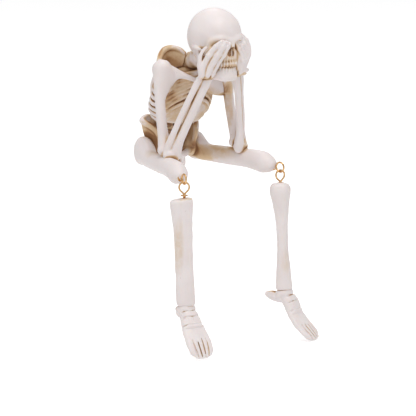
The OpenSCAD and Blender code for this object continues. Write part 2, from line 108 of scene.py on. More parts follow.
def catmull(rows, steps):
    """Catmull-Rom resampling of rows of numbers, with so many steps per span."""
    rows = np.asarray(rows, float)
    if len(rows) < 3 or steps < 2:
        return rows
    ends = np.vstack([2 * rows[0] - rows[1], rows, 2 * rows[-1] - rows[-2]])
    out = []
    for i in range(len(rows) - 1):
        p0, p1, p2, p3 = ends[i:i + 4]
        for j in range(steps):
            t = j / steps
            out.append(0.5 * (2 * p1 + (p2 - p0) * t + (2 * p0 - 5 * p1 + 4 * p2 - p3) * t * t
                              + (3 * p1 - p0 - 3 * p2 + p3) * t ** 3))
    out.append(rows[-1])
    return np.array(out)


def ellipsoid_distance(offsets, radii, power, narrowest):
    """Rough distance to an ellipsoid; a power above 2 makes it boxier."""
    u, v, w = (offset / radius for offset, radius in zip(offsets, radii))
    if power == 2.0:
        length = np.sqrt(u * u + v * v + w * w)
        a, b, c = radii
        slope = np.sqrt((u / a) ** 2 + (v / b) ** 2 + (w / c) ** 2) + F(1e-6)
        return length * (length - 1) / slope
    length = (np.abs(u) ** F(power) + np.abs(v) ** F(power)
              + np.abs(w) ** F(power)) ** F(1 / power)
    return (length - 1) * narrowest


class Grid:
    """Values on a regular grid, read between the grid points by blending."""

    def __init__(self, low, cell, values):
        self.low, self.cell, self.values = low, cell, values

    def sample(self, points):
        place = (points - self.low) / self.cell
        place = np.clip(place, 0, np.array(self.values.shape) - 1.001)
        index = place.astype(int)
        x, y, z = index.T
        weights = [enumerate((1 - part, part)) for part in (place - index).astype(F).T]
        total = 0
        for (dx, wx), (dy, wy), (dz, wz) in product(*weights):
            total = total + self.values[x + dx, y + dy, z + dz] * wx * wy * wz
        return total


class Volume(Grid):
    """A distance field built up from blended shapes.

    All shapes and the box are given for the left side; with side=RIGHT they are mirrored.
    blend is the width over which a shape melts into the rest; cut=True carves it away.
    """

    def __init__(self, low, high, cell, side=LEFT):
        if side == RIGHT:
            low, high = (-high[0], low[1], low[2]), (-low[0], high[1], high[2])
        low = np.asarray(low, float) - MARGIN
        self.count = np.ceil((np.asarray(high, float) + MARGIN - low) / cell).astype(int) + 1
        super().__init__(low, cell, np.full(tuple(self.count), FAR, F))
        self.axes = [(low[i] + cell * np.arange(self.count[i])).astype(F) for i in range(3)]
        self.side = side

    def halves(self):
        """Yields this volume set to the right side, then to the left, where it stays."""
        for self.side in (RIGHT, LEFT):
            yield self

    def mirror(self, points):
        return np.asarray(points, float) * [self.side, 1, 1]

    def block(self, low, high, margin):
        """The part of the grid over a box: its slices and its x, y, z; None if empty."""
        start = np.floor((np.asarray(low) - margin - self.low) / self.cell).astype(int)
        stop = np.ceil((np.asarray(high) + margin - self.low) / self.cell).astype(int) + 1
        start, stop = np.clip(start, 0, self.count), np.clip(stop, 0, self.count)
        if (stop <= start).any():
            return None
        region = tuple(slice(a, b) for a, b in zip(start, stop))
        return region, np.ix_(*(axis[part] for axis, part in zip(self.axes, region)))

    def mix(self, region, shape, blend, cut):
        now = self.values[region]
        self.values[region] = (-smooth_min(-now, shape, blend) if cut
                               else smooth_min(now, shape, blend))

    def egg(self, centre, radii, blend=0.0, cut=False, axes=None, power=2.0):
        """Ellipsoid; axes holds its three directions as rows."""
        centre = self.mirror(centre)
        radii = np.asarray(radii, float)
        if axes is not None:
            axes = self.mirror(axes)
        extent = radii if axes is None else np.abs(axes.T) @ radii
        block = self.block(centre - extent, centre + extent, blend + REACH)
        if block is None:
            return
        region, coords = block
        offsets = [coord - F(c) for coord, c in zip(coords, centre)]
        if axes is not None:
            offsets = [dot(offsets, axis) for axis in axes]
        shape = ellipsoid_distance(offsets, [F(r) for r in radii], power, F(radii.min()))
        self.mix(region, shape, blend, cut)

    def tube(self, stations, across=X_AXIS, blend=0.0, steps=4, cut=False, power=2.0, cap=0.8):
        """Sweep of an ellipse.

        A station is (x, y, z, half width along across, half height); a missing half height
        equals the half width. across may be a function of the station. cap is the bulge of
        the ends as a share of the smaller radius.
        """
        rows = catmull([list(row) + [row[-1]] * (5 - len(row)) for row in stations], steps)
        path = self.mirror(rows[:, :3])
        widths = np.maximum(rows[:, 3], LEAST_RADIUS)
        heights = np.maximum(rows[:, 4], LEAST_RADIUS)
        extent = np.maximum(widths, heights)
        whole = self.block((path - extent[:, None]).min(0), (path + extent[:, None]).max(0),
                           blend + REACH)
        if whole is None:
            return
        whole_region = whole[0]
        sweep = np.full(self.values[whole_region].shape, FAR, F)
        for i in range(len(path) - 1):
            start, end = path[i], path[i + 1]
            run = end - start
            run_squared = float(run @ run)
            if run_squared < 1e-12:
                continue
            along = unit(path[min(i + 2, len(path) - 1)] - path[max(i - 1, 0)])
            guide = self.mirror(across(rows[i]) if callable(across) else across)
            width_axis = unit(guide - along * (guide @ along))
            height_axis = np.cross(along, width_axis)
            radius = max(extent[i], extent[i + 1])
            block = self.block(np.minimum(start, end) - radius, np.maximum(start, end) + radius,
                               blend + REACH)
            if block is None:
                continue
            region, coords = block
            offsets = [coord - F(c) for coord, c in zip(coords, start)]
            t = np.clip(dot(offsets, run) / F(run_squared), 0, 1)
            offsets = [offset - t * F(r) for offset, r in zip(offsets, run)]
            width = F(widths[i]) + t * F(widths[i + 1] - widths[i])
            height = F(heights[i]) + t * F(heights[i + 1] - heights[i])
            narrowest = np.minimum(width, height)
            shape = ellipsoid_distance(
                [dot(offsets, axis) for axis in (width_axis, height_axis, along)],
                (width, height, narrowest * F(cap)), power, narrowest)
            # a segment's block can reach past the block of the whole sweep
            inner, source = [], []
            for part, outer, size in zip(region, whole_region, sweep.shape):
                first, last = part.start - outer.start, part.stop - outer.start
                low, high = max(first, 0), min(last, size)
                inner.append(slice(low, high))
                source.append(slice(low - first, high - first))
            inner, source = tuple(inner), tuple(source)
            sweep[inner] = np.minimum(sweep[inner], shape[source])
        self.mix(whole_region, sweep, blend, cut)

    def cut_below(self, height):
        self.values = np.maximum(self.values, -(self.axes[2] - F(height))[None, None, :])

    def cut_in_front(self, point, normal, blend):
        """Cuts away everything on the side of a plane that its normal points to."""
        offsets = [coord - F(c) for coord, c in zip(np.ix_(*self.axes), self.mirror(point))]
        shape = -dot(offsets, unit(self.mirror(normal)))
        self.values = -smooth_min(-self.values, shape, blend)

    def wobble(self, amount, scale, seed):
        """Hand-sculpted unevenness; scale is the longest wave."""
        rng = np.random.RandomState(seed)
        total = F(0)
        for pitch, weight in ((1.0, 1.0), (1.73, 0.6), (2.9, 0.35)):
            frequency = (2 * math.pi / scale) * pitch
            weight = amount * weight
            for _ in range(2):
                wave1 = unit(rng.normal(size=3)) * frequency
                wave2 = unit(rng.normal(size=3)) * frequency
                phase1, phase2 = rng.uniform(0, 6.28, 2)
                sx, sy, sz = np.ix_(*(np.sin(self.axes[i] * F(wave1[i]) + F(phase1 * (i == 0)))
                                      for i in range(3)))
                cx, cy, cz = np.ix_(*(np.cos(self.axes[i] * F(wave2[i]) + F(phase2 * (i == 1)))
                                      for i in range(3)))
                total = total + F(weight) * (sx * cy + sy * cz + sz * cx)
        self.values += total * F(0.5)

    def mesh(self):
        """Surface net: a vertex in each cell the surface crosses, a quad per crossed edge."""
        field = self.values
        # close the field at the grid's border
        for border in (0, -1):
            field[border] = field[:, border] = field[:, :, border] = 1
        inside = field < 0
        cells = np.array(field.shape) - 1
        cell_count = int(cells.prod())
        stride = np.array([cells[1] * cells[2], cells[2], 1])
        sums = np.zeros((4, cell_count))     # x, y, z of the crossings, and their number
        quads = []
        for a in range(3):
            near = [slice(None)] * 3
            far = [slice(None)] * 3
            near[a] = slice(0, -1)
            far[a] = slice(1, None)
            index = np.argwhere(inside[tuple(near)] != inside[tuple(far)])
            if not len(index):
                continue
            following = index.copy()
            following[:, a] += 1
            d0 = field[tuple(index.T)].astype(float)
            d1 = field[tuple(following.T)].astype(float)
            place = index.astype(float)
            place[:, a] += d0 / (d0 - d1)
            b, c = (a + 1) % 3, (a + 2) % 3
            ok = ((index[:, b] > 0) & (index[:, c] > 0)
                  & (index[:, b] < cells[b]) & (index[:, c] < cells[c]))
            index, place, leaving = index[ok], place[ok], d0[ok] < 0
            corners = []
            for step_b, step_c in ((-1, -1), (0, -1), (0, 0), (-1, 0)):
                corner = index.copy()
                corner[:, b] += step_b
                corner[:, c] += step_c
                corners.append(corner @ stride)
            for corner in corners:
                for m in range(3):
                    sums[m] += np.bincount(corner, weights=place[:, m], minlength=cell_count)
                sums[3] += np.bincount(corner, minlength=cell_count)
            faces = np.stack(corners, 1)
            faces[~leaving] = faces[~leaving][:, ::-1]
            quads.append(faces)
        used = np.flatnonzero(sums[3] > 0)
        renumber = np.full(cell_count, -1, int)
        renumber[used] = np.arange(len(used))
        vertices = (sums[:3, used] / sums[3, used]).T * self.cell + self.low
        quads = renumber[np.vstack(quads)]
        slopes = [Grid(self.low, self.cell, g) for g in np.gradient(field, self.cell)]
        # pull the vertices onto the surface
        limit = 0.45 * self.cell
        for _ in range(2):
            slope = np.stack([g.sample(vertices) for g in slopes], 1)
            steepness = np.linalg.norm(slope, axis=1) + 1e-6
            step = np.clip(self.sample(vertices) / steepness, -limit, limit)
            vertices = vertices - (slope / steepness[:, None]) * step[:, None] * 0.9
        normals = slope / (np.linalg.norm(slope, axis=1)[:, None] + 1e-6)
        return vertices, quads, normals


def drop_specks(vertex_count, quads):
    """Returns which vertices to keep, and the renumbered quads."""
    label = np.arange(vertex_count)
    edges = np.vstack([quads[:, [i, (i + 1) % 4]] for i in range(4)])
    for _ in range(400):
        lowest = np.minimum(label[edges[:, 0]], label[edges[:, 1]])
        new = label.copy()
        np.minimum.at(new, edges[:, 0], lowest)
        np.minimum.at(new, edges[:, 1], lowest)
        new = new[new]
        if (new == label).all():
            break
        label = new
    keep = np.bincount(label, minlength=vertex_count)[label] >= SPECK
    renumber = np.cumsum(keep) - 1
    return keep, renumber[quads[keep[quads].all(1)]]


# ---------- head ----------
def tooth_places(count, pitch, half_width, centre_y, half_depth):
    """x, y of teeth on an elliptical arc; pitch is in degrees."""
    for i in range(count):
        angle = math.radians(-90 + (i - (count - 1) / 2) * pitch)
        yield half_width * math.cos(angle), centre_y + half_depth * math.sin(angle)


def skull():
    bone = Volume((-16, -66, 64), (16, -26, 101.5), 0.38)
    bone.egg((0.3, -45.6, 84.7), (14.9, 17.2, 15.7))
    bone.egg((0, -51.6, 86), (11.4, 10.2, 10.6), 3)
    bone.egg((0, -37, 80), (9.6, 7, 8.6), 4)
    # face
    bone.egg((0, -55.2, 73), (7.9, 7.6, 7.2), 3)
    bone.egg((0, -55.4, 79), (10.5, 6.2, 6), 3)
    bone.egg((0, -44, 72.5), (8, 9, 5), 4)
    # cheekbone, its arch, the rim over the eye, and hollows at temple and cheek
    for half in bone.halves():
        half.egg((10.2, -56.4, 76.6), (3.2, 3.9, 3), 2)
        half.tube([(11.4, -56, 77, 1.3, 1.6), (13.4, -52, 77.6, 1.0, 1.3),
                   (14, -47, 78, 1.0, 1.2), (13, -43, 78.4, 1, 1)], X_AXIS, 1.2)
        half.tube([(2.2, -62.2, 82.6, 1.3, 1.1), (5.8, -61.6, 83.6, 1.2, 1.2),
                   (9.4, -58.8, 83, 1.2, 1.2), (11.4, -56.4, 80.6, 1.1, 1.2),
                   (11.2, -56.4, 77.9, 1.2, 1.2)], Y_AXIS, 2.6)
        half.egg((17.6, -54.5, 80.5), (4.3, 6.4, 6.4), 3, cut=True)
        half.egg((11.6, -57.5, 69.6), (3.8, 5.4, 4.2), 2, cut=True)
    # bridge of the nose, then eye sockets and nose opening
    bone.tube([(0, -61.9, 83, 1.6, 1.3), (0, -63.6, 80, 1.3, 1.1), (0, -64.4, 78.4, 1.1, 0.9)],
              X_AXIS, 1.8)
    for half in bone.halves():
        half.egg((6.1, -63, 79.6), (3.8, 4.6, 3.0), 1.1, cut=True)
        half.egg((1.25, -63.4, 75.4), (1.35, 2.8, 1.9), 0.4, cut=True)
    bone.egg((0, -64, 77.2), (1.2, 2.8, 2.1), 0.5, cut=True)
    bone.tube([(0, -62.8, 78, 0.35), (0, -63, 73.8, 0.35)], X_AXIS, 0.3)
    # upper teeth and their roots
    for x, y in tooth_places(10, 15.5, 6.4, -56.2, 6.2):
        bone.egg((x, y, 68.9), (0.9, 0.95, 1.9), 0.12, power=2.6)
        bone.egg((x * 1.02, y - 0.1, 71.6), (0.5, 0.5, 1.6), 0.5)
    bone.wobble(0.05, 9, 3)
    return bone


def jaw():
    bone = Volume((-14, -64, 57.5), (14, -43, 78), 0.34)
    for half in bone.halves():
        half.tube([(11.3, -46, 76.4, 0.9, 1.3), (11.5, -46.6, 73, 1.1, 2.6),
                   (11, -47.8, 68, 1.3, 3.4), (9.6, -51.2, 64.2, 1.4, 3.2),
                   (7.4, -55.8, 63, 1.6, 3.2), (4.2, -59, 62.6, 1.9, 3.5),
                   (0, -60.2, 62.6, 2.1, 3.7)], lambda row: (row[0], row[1] + 52, 0), 0.6)
        half.egg((3, -60.4, 60.6), (2.6, 1.8, 1.8), 1.4)
    bone.egg((0, -61.2, 61.2), (2.6, 1.6, 2), 1.4)
    # floor of the jaw, hollowed from above
    bone.egg((0, -52.6, 60.5), (6.2, 5.2, 1.6), 1.6)
    bone.egg((0, -52.2, 63.5), (5.8, 5.6, 2.6), 0.8, cut=True)
    # lower teeth and their roots
    for x, y in tooth_places(8, 16.5, 5.9, -56, 5.4):
        bone.egg((x, y, 66), (0.85, 0.85, 1.5), 0.18, power=2.6)
        bone.egg((x * 1.05, y - 0.3, 63.8), (0.55, 0.6, 1.5), 0.5)
    bone.wobble(0.04, 7, 5)
    return bone


# ---------- trunk ----------
# outline of the chest: z, y of the centre, half width, half depth
CAGE = np.array([
    [27.8, -8.8, 8.6, 7.4], [29.6, -9, 12.4, 10.4], [33, -9.6, 15.8, 13], [37, -10.4, 18, 14.6],
    [41, -11.6, 18.8, 15.2], [45, -13, 18.6, 15], [49, -14.4, 18.2, 14.6],
    [53, -16.2, 17.2, 14], [56.5, -18.4, 15.2, 12.8], [59.5, -21.2, 12, 10.6],
    [62, -24, 8, 7.6], [63.2, -25.4, 5, 5]])
# per rib from the bottom: angle at which it ends (-90 is the front), rise towards the front
RIBS = ((-20, 2), (-46, 6), (-74, 10), (-88, 10.4), (-88, 10), (-88, 9.2), (-88, 8), (-88, 6.4),
        (-88, 4.4), (-88, 2.6))
RIB_POINTS = 28
RIB_LIFT = 0.2               # how far ribs stand off the outline
CHEST_INSET = 0.9
FLANK = 0.62                 # share of the way round where a rib is lowest
# where the arm grows out of the chest
CHEST_WEB = {
    RIGHT: [(13.6, -24.6, 56, 1.6, 3), (16.6, -25.6, 55.4, 1.8, 4.6), (20, -27, 55, 1.8, 5.4),
            (23.4, -27.6, 55, 1.6, 5.4)],
    LEFT: [(10.5, -27.5, 55.5, 3.2, 6), (14.4, -27.4, 53.6, 2.8, 7.4),
           (18, -27.6, 52.6, 2.3, 7.4), (21.6, -28, 52.6, 1.9, 7.6), (23.4, -28.2, 52.6, 1.6, 7)]}


def rib_curve(back_z, drop, end_angle, rise):
    """Down from the back to the flank, then up again towards the breastbone."""
    points = []
    for i in range(RIB_POINTS):
        angle = 90.0 + (end_angle - 90.0) * i / (RIB_POINTS - 1)
        t = (90 - angle) / 178.0
        z = back_z - drop * math.sin(min(t / FLANK, 1) * math.pi / 2) ** 1.15
        if t > FLANK:
            z += rise * math.sin((t - FLANK) / 0.38 * math.pi / 2) ** 1.1
        centre_y, half_width, half_depth = (
            float(np.interp(max(z, 28.6), CAGE[:, 0], CAGE[:, k])) for k in (1, 2, 3))
        angle = math.radians(angle)
        points.append(((half_width + RIB_LIFT) * math.cos(angle),
                       centre_y + (half_depth + RIB_LIFT) * math.sin(angle), z))
    return points


def rib_cage():
    bone = Volume((-24.4, -42, 26), (24.4, 6.6, 66), 0.42)
    bone.tube([(0, y, z, half_width - CHEST_INSET, half_depth - CHEST_INSET)
               for z, y, half_width, half_depth in CAGE[1:]], X_AXIS, 0, steps=3, cap=0.5)
    bone.egg((0, -9.5, 25.5), (14.4, 11.4, 11.5), 1.5, cut=True)
    for half in bone.halves():
        for i, (end_angle, rise) in enumerate(RIBS):
            back_z = 38.4 + i * 2.95 + max(0, i - 6) * 0.5
            stations = []
            for j, point in enumerate(rib_curve(back_z, 10.6 - 0.35 * i, end_angle, rise)):
                t = j / (RIB_POINTS - 1)
                radius = 1.12 + 0.16 * math.sin(t * math.pi)
                if end_angle > -60:
                    # the two short ribs taper to a point
                    radius *= 1 - 0.55 * max(0, t - 0.7) / 0.3
                stations.append((*point, 0.92 * radius, radius))
            half.tube(stations, lambda row: (row[0], (row[1] + 12) * 1.3, 0), 0.75,
                      steps=1, cap=0.7)
        half.tube(CHEST_WEB[half.side], Y_AXIS, 2.0, cap=0.6)
    # breastbone
    bone.tube([(0, -34.4, 58.6, 2.6, 1.3), (0, -35, 56.4, 3.9, 1.7), (0, -33.6, 53.4, 2.3, 1.5),
               (0, -31.6, 48, 2.4, 1.4), (0, -29, 41.5, 2.6, 1.4), (0, -27, 37.4, 1.5, 1.1),
               (0, -25.8, 34.8, 0.7, 0.6)], X_AXIS, 1.2)
    bone.wobble(0.08, 8, 11)
    return bone


# centre line of the spine, upwards
SPINE = [(0, 2.8, 14), (0, 2.6, 20), (0, 2.6, 25), (0, 2.8, 30), (0, 2.8, 35), (0, 1.8, 40),
         (0, -0.2, 45), (0, -3.0, 50), (0, -6.8, 54.6), (0, -12.2, 58.8), (0, -18.2, 62),
         (0, -24.8, 64.2), (0, -31.4, 65.8), (0, -37.6, 68.0), (0, -40.5, 70.5)]
# thick root of the neck
NECK = [(0, -7, 56.6, 3, 2.6), (0, -13, 61.2, 4.8, 4.2), (0, -19, 64.6, 6, 5.2),
        (0, -26, 67.6, 6.2, 5.2), (0, -33, 70.4, 5.4, 4.6), (0, -39, 72.4, 4.6, 4)]
NECK_START_Y = -10
VERTEBRA_PITCH = 3.7


def spine():
    bone = Volume((-8, -44, 12), (8, 7.4, 75.5), 0.42)
    line = catmull(SPINE, 12)
    lengths = np.r_[0, np.cumsum(np.linalg.norm(np.diff(line, axis=0), axis=1))]
    total = lengths[-1]
    count = int(total / VERTEBRA_PITCH)

    def point_at(length):
        return np.array([np.interp(length, lengths, line[:, j]) for j in range(3)])

    bone.tube([(*point, 2.2) for point in line[::6]], X_AXIS, 0, steps=2)
    bone.tube(NECK, X_AXIS, 1.5)
    neck_y = [-row[1] for row in NECK]
    for i in range(count + 1):
        length = i * total / count
        point = point_at(length)
        up = unit(point_at(min(length + 0.6, total)) - point_at(max(length - 0.6, 0)))
        back = unit(np.cross(up, X_AXIS))
        axes = np.array([X_AXIS, back, up])
        in_neck = point[1] < NECK_START_Y
        if in_neck:
            # soft rings in the root of the neck instead of open bones
            z, half_width, radius = (np.interp(-point[1], neck_y, [row[j] for row in NECK])
                                     for j in (2, 3, 4))
            point = np.array([0, point[1], z])
            bone.egg(point, (half_width + 0.12, radius + 0.12, 1.5), 1.0, axes=axes, power=2.4)
        else:
            radius = 3.3 if i < 7 else 2.9 if i < 15 else 2.6
            bone.egg(point, (radius, radius, 1.55), 0.5, axes=axes, power=2.6)
        # process at the back, and one at each side
        tip = point + back * (radius + (0.3 if in_neck else 1.5)) - up * 1.1
        bone.tube([(*(point + back * (radius - 1)), 0.9, 1.3), (*tip, 0.75, 1.0)],
                  X_AXIS, 0.7, steps=1)
        if not in_neck:
            for half in bone.halves():
                root = point + back * 0.8 + np.array([radius - 1, 0, 0])
                tip = point + np.array([radius + 1.4, 0, 0]) + back * 1.1
                half.tube([(*root, 0.8), (*tip, 0.65)], Y_AXIS, 0.5, steps=1)
    bone.wobble(0.05, 6, 17)
    return bone


# rim of the hip wing from front to back: x, y, z, radius
CREST = [(13.2, -7.0, 14.6, 1.5), (13.2, -8.6, 18, 1.55), (13.6, -9, 21.4, 1.65),
         (14.8, -7.8, 24.6, 1.85), (16.6, -4.6, 27.2, 1.95), (18.2, -0.8, 28.8, 1.9),
         (18, 2, 29.8, 1.75), (15.6, 3.8, 31, 1.6), (12.4, 4.6, 31.6, 1.5),
         (9.6, 4.8, 30.4, 1.4), (7.4, 4.8, 27.6, 1.4), (6.2, 4.6, 22.4, 1.5)]
SACRUM_PITCH = 4.4


def pelvis():
    bone = Volume((-25, -15, 0), (25, 8, 37), 0.42)
    crest = catmull(CREST, 3)
    for half in bone.halves():
        # cupped wing: flattened staves from the crest down to the socket
        for j in range(len(crest) - 4):
            top = crest[j, :3]
            t = j / (len(crest) - 5.0)
            base = np.array([12.6 - 3.4 * t, -4.6 + 6.4 * t, 11.5 + 1.5 * t])
            middle = (top + base) / 2 + np.array([0.9, 1.6 - 0.6 * t, -0.6])
            along = unit(crest[j + 1, :3] - crest[max(j - 1, 0), :3])
            half.tube([(*top, 2.0, 0.75), (*middle, 1.9, 0.75), (*base, 1.8, 1.0)], along, 0.6,
                      steps=3, cap=0.5)
        half.tube(crest, X_AXIS, 0.9, steps=1)
        # hip socket block, pubic bar, sit bone
        half.egg((13, -3.6, 11.4), (4.2, 5.2, 5.2), 2)
        half.tube([(13.4, -3.4, 11, 3, 3), (9, -7.4, 10, 2.1, 2.1), (4.6, -10, 9.2, 1.9, 2.3),
                   (0.2, -10.6, 8.8, 1.7, 2.6)], Z_AXIS, 1.2)
        half.tube([(3, -9.6, 7.4, 1.5, 1.7), (6, -6, 3.6, 1.8, 2.2), (8.2, -1.6, 3, 2.6, 2.8),
                   (10, 1.4, 6.6, 2.6, 2.8), (11.6, 1, 11, 2.6, 2.6)], X_AXIS, 1.2)
    # sacrum, with pits at its front and back and knobs down the back
    bone.tube([(0, 2.2, 30.4, 7, 2), (0, 2.8, 26, 8.6, 2.7), (0, 3.4, 20, 7.6, 2.7),
               (0, 3.8, 13, 5.2, 2.4), (0, 3.4, 6.4, 3.2, 1.9), (0, 2.2, 3.4, 1.6, 1.2)],
              X_AXIS, 1.2, power=2.4)
    for half in bone.halves():
        for j in range(4):
            for y in (5.6, 0.6):
                half.egg((4.2 - 0.6 * j, y, 25.6 - j * SACRUM_PITCH), (0.8, 1.6, 0.9), 0.5,
                         cut=True)
    for j in range(5):
        bone.egg((0, 6.2 - 0.05 * j, 27.4 - j * SACRUM_PITCH), (1.1, 1.1, 1.5), 0.9)
    bone.tube([(-6, -3, 0.6, 3.4, 1.6), (6, -3, 0.6, 3.4, 1.6)], Y_AXIS, 2)
    bone.wobble(0.06, 8, 23)
    bone.cut_below(0.02)
    return bone


# ---------- shoulders and arms ----------
def shoulder_blade(side):
    bone = Volume((3.5, -30, 42), (27.5, 3.5, 83), 0.38, side)
    # wall behind the hollow of the shoulder, and the plate down the back
    bone.tube([(22.4, -21.6, 65.6, 3, 1.1), (20.6, -19.4, 66.4, 4.4, 0.95),
               (18, -18.2, 67.4, 5.8, 0.9), (15.2, -18.4, 68.4, 7, 0.85),
               (12.2, -20.2, 69, 6.8, 0.85), (9.2, -22.6, 68.8, 5.8, 0.85),
               (6.6, -24.8, 68, 4.4, 0.9)], (0, -0.15, 1), 0)
    bone.tube([(14, -17, 66, 0.7, 5), (14.4, -13.4, 63, 0.75, 6), (14.8, -9.4, 58.4, 0.85, 5.4),
               (14.8, -6, 53, 0.9, 3.8), (14.4, -3.4, 48, 1, 2.4), (14, -2.6, 46, 0.8, 1.2)],
              (0.86, 0.4, 0.3), 1.5, cap=0.6)
    # upper, inner and outer borders
    bone.tube([(23, -23, 67.2, 1.3), (21.2, -20.6, 69.4, 1.5), (18.8, -19, 72.2, 1.65),
               (15.6, -19.4, 74.8, 1.7), (12.2, -21.4, 75.6, 1.6), (9, -23.8, 74.6, 1.3),
               (6.8, -25.6, 72.4, 1.1)], X_AXIS, 0.8)
    bone.tube([(12.6, -19.6, 74, 1.0), (11.4, -15.6, 69.6, 0.95), (11.6, -11, 64.6, 0.95),
               (12.4, -6.8, 58.6, 1), (13.4, -3.8, 52, 1.05), (13.8, -2.6, 46.4, 1.1)],
              X_AXIS, 0.6)
    bone.tube([(13.8, -2.6, 46.4, 1.1), (17, -7, 52, 1.15), (18.6, -11.8, 58, 1.2),
               (19.8, -16.4, 63, 1.3), (20.8, -20, 66, 1.5)], X_AXIS, 0.6)
    # ridge out to the point of the shoulder
    bone.tube([(13.4, -12.6, 64, 0.8, 0.9), (16.8, -15.6, 66.8, 1.0, 1.5),
               (20.4, -19.4, 68, 1.4, 1.7), (23.2, -24.2, 68.2, 1.7, 1.4),
               (24.2, -27, 67.4, 1.3, 1.1)], Z_AXIS, 0.9)
    # socket
    bone.egg((20.8, -22.6, 64.4), (2.6, 2.8, 3.2), 1.2)
    bone.wobble(0.06, 7, 29 + side)
    return bone


def collarbone(side):
    bone = Volume((-1, -40, 48), (28, -22, 71), 0.36, side)
    # a broad web at the shoulder that narrows to a bar at the breastbone
    bone.tube([(25.4, -27.6, 60.4, 1.9, 7.6), (23, -29, 60, 2.0, 8.4),
               (20.6, -29.8, 60.2, 1.8, 6.8), (18.2, -30.8, 60.6, 1.5, 4.4),
               (15.6, -32, 60.6, 1.4, 2.5), (12.6, -33.6, 59.8, 1.35, 1.6),
               (9, -35.2, 58.4, 1.3, 1.35), (5, -36.2, 57, 1.4, 1.5),
               (1.6, -36.8, 56, 1.7, 1.9), (0.6, -36.9, 55.8, 1.4, 1.6)], Y_AXIS, 0)
    # the bar's upper edge
    bone.tube([(25, -26.6, 67.6, 1.5), (21.6, -28.4, 66, 1.5, 1.6), (18, -30.2, 64.2, 1.3, 1.4),
               (14.4, -32.2, 61.8, 1.2, 1.3), (10, -34.8, 59, 1.2)], Y_AXIS, 1.2)
    bone.wobble(0.06, 9, 37 + side)
    return bone


# shaft of the upper arm, downwards; both sides end alike at the elbow
UPPER_ARM = {
    RIGHT: [(25.2, -26.8, 65, 3.7, 3.7), (25.7, -27.2, 60, 3.6, 3.6), (26.2, -27.8, 54, 3.2, 3.3),
            (26.9, -29, 46, 3.0, 3.0), (27, -30.2, 36, 3.0, 3.0), (26.6, -31.4, 27, 3.2, 3.1),
            (26.4, -32.4, 21, 4.0, 3.3)],
    LEFT: [(24.2, -26.8, 65, 3.8, 3.7), (23.6, -27.2, 60, 4.0, 3.6), (23.2, -27.8, 54, 3.7, 3.3),
           (23.2, -29, 46, 3.2, 3.0), (24, -30.2, 36, 3.0, 3.0), (25.2, -31.4, 27, 3.2, 3.1),
           (26.2, -32.4, 21, 3.8, 3.3)]}
UPPER_ARM_END = [(26.2, -33, 17.6, 4.3, 3.4), (26.1, -33.4, 15.6, 3.4, 2.8)]


def upper_arm(side):
    bone = Volume((17, -38, 13), (32, -20, 71), 0.38, side)
    bone.egg((24.7, -26, 63.8), (4.6, 4.8, 5))
    bone.tube(UPPER_ARM[side] + UPPER_ARM_END, X_AXIS, 1.6)
    bone.egg((27, -27.6, 63.8), (2.1, 2.4, 3.2), 1.6)
    # web towards the chest
    bone.tube([(25.2, -28.2, 60.4, 2.4, 7), (22.8, -29.2, 60.2, 2.15, 7.6),
               (20.6, -30, 60.4, 1.95, 6.4), (18.4, -30.8, 60.8, 1.65, 4)], Y_AXIS, 4.5, cap=0.5)
    bone.egg((23.4, -27.8, 59.6), (3.4, 3, 8), 3.5)
    # elbow knuckles
    for offset in (-3.4, 3.4):
        bone.egg((26.1 + offset, -33.2, 17.2), (1.7, 2.1, 2.2), 1)
    bone.wobble(0.08, 9, 41 + side)
    return bone


FOREARM_ACROSS = (0.917, 0.399, 0)
SEAM_DEPTH = 2.0


def forearm(side):
    bone = Volume((7.5, -58, 10.5), (32, -34, 64), 0.34, side)
    # outer and inner bone, side by side, with a dark seam between them
    slim = 1.0 if side == RIGHT else 0.8
    outer = [(27.4, -36.6, 14.2, 2.2, 2.4), (27.6, -37.2, 18.4, 2.3, 2.4),
             (26.2, -40, 25.4, 1.95 * slim, 2.0 * slim), (23.4, -43.6, 36, 1.8 * slim, 1.9 * slim),
             (19.8, -48, 48, 1.8 * slim, 1.9 * slim), (16.8, -51.4, 57, 1.9, 2.0),
             (15.6, -52.6, 60.6, 1.8, 1.9)]
    inner = [(23.8, -39.6, 13.8, 3.2, 2.7), (23.2, -40.4, 18.4, 3.2, 2.9),
             (21.8, -42.6, 25.4, 2.7 * slim, 2.5 * slim), (18.6, -46.2, 36, 2.6 * slim, 2.4 * slim),
             (14.9, -50.2, 48, 2.6 * slim, 2.5 * slim), (12, -53.2, 57, 2.9 * slim, 2.6 * slim),
             (11, -54.2, 60.6, 2.7 * slim, 2.4 * slim)]
    if side == LEFT:
        inner = [(x - (0.8 if z > 50 else 0.5), y, z, w, h) for x, y, z, w, h in inner]
        outer = [(x - (1.5 if z > 40 else 0.9 if z > 22 else 0), y, z, w, h)
                 for x, y, z, w, h in outer]
    bone.tube(outer, FOREARM_ACROSS, 0)
    bone.tube(inner, FOREARM_ACROSS, 0.55)
    # hair-fine seam, front and back, deepened so the stain settles in it
    middle = [(0.5 * (a[0] + b[0]) + 0.45, 0.5 * (a[1] + b[1]) + 0.1, a[2])
              for a, b in zip(outer, inner)][1:-1]
    across_x, across_y, _ = FOREARM_ACROSS
    for face in (-1, 1):
        bone.tube([(x - face * across_y * SEAM_DEPTH, y + face * across_x * SEAM_DEPTH, z,
                    0.26, 0.45) for x, y, z in middle], FOREARM_ACROSS, 0.3, cut=True)
    # elbow
    bone.egg((25.6, -38, 15.2), (4.9, 3.4, 3.1), 1.4)
    bone.egg((27.8, -37.2, 13.8), (2, 2, 2), 1)
    bone.wobble(0.06, 8, 47 + side)
    return bone


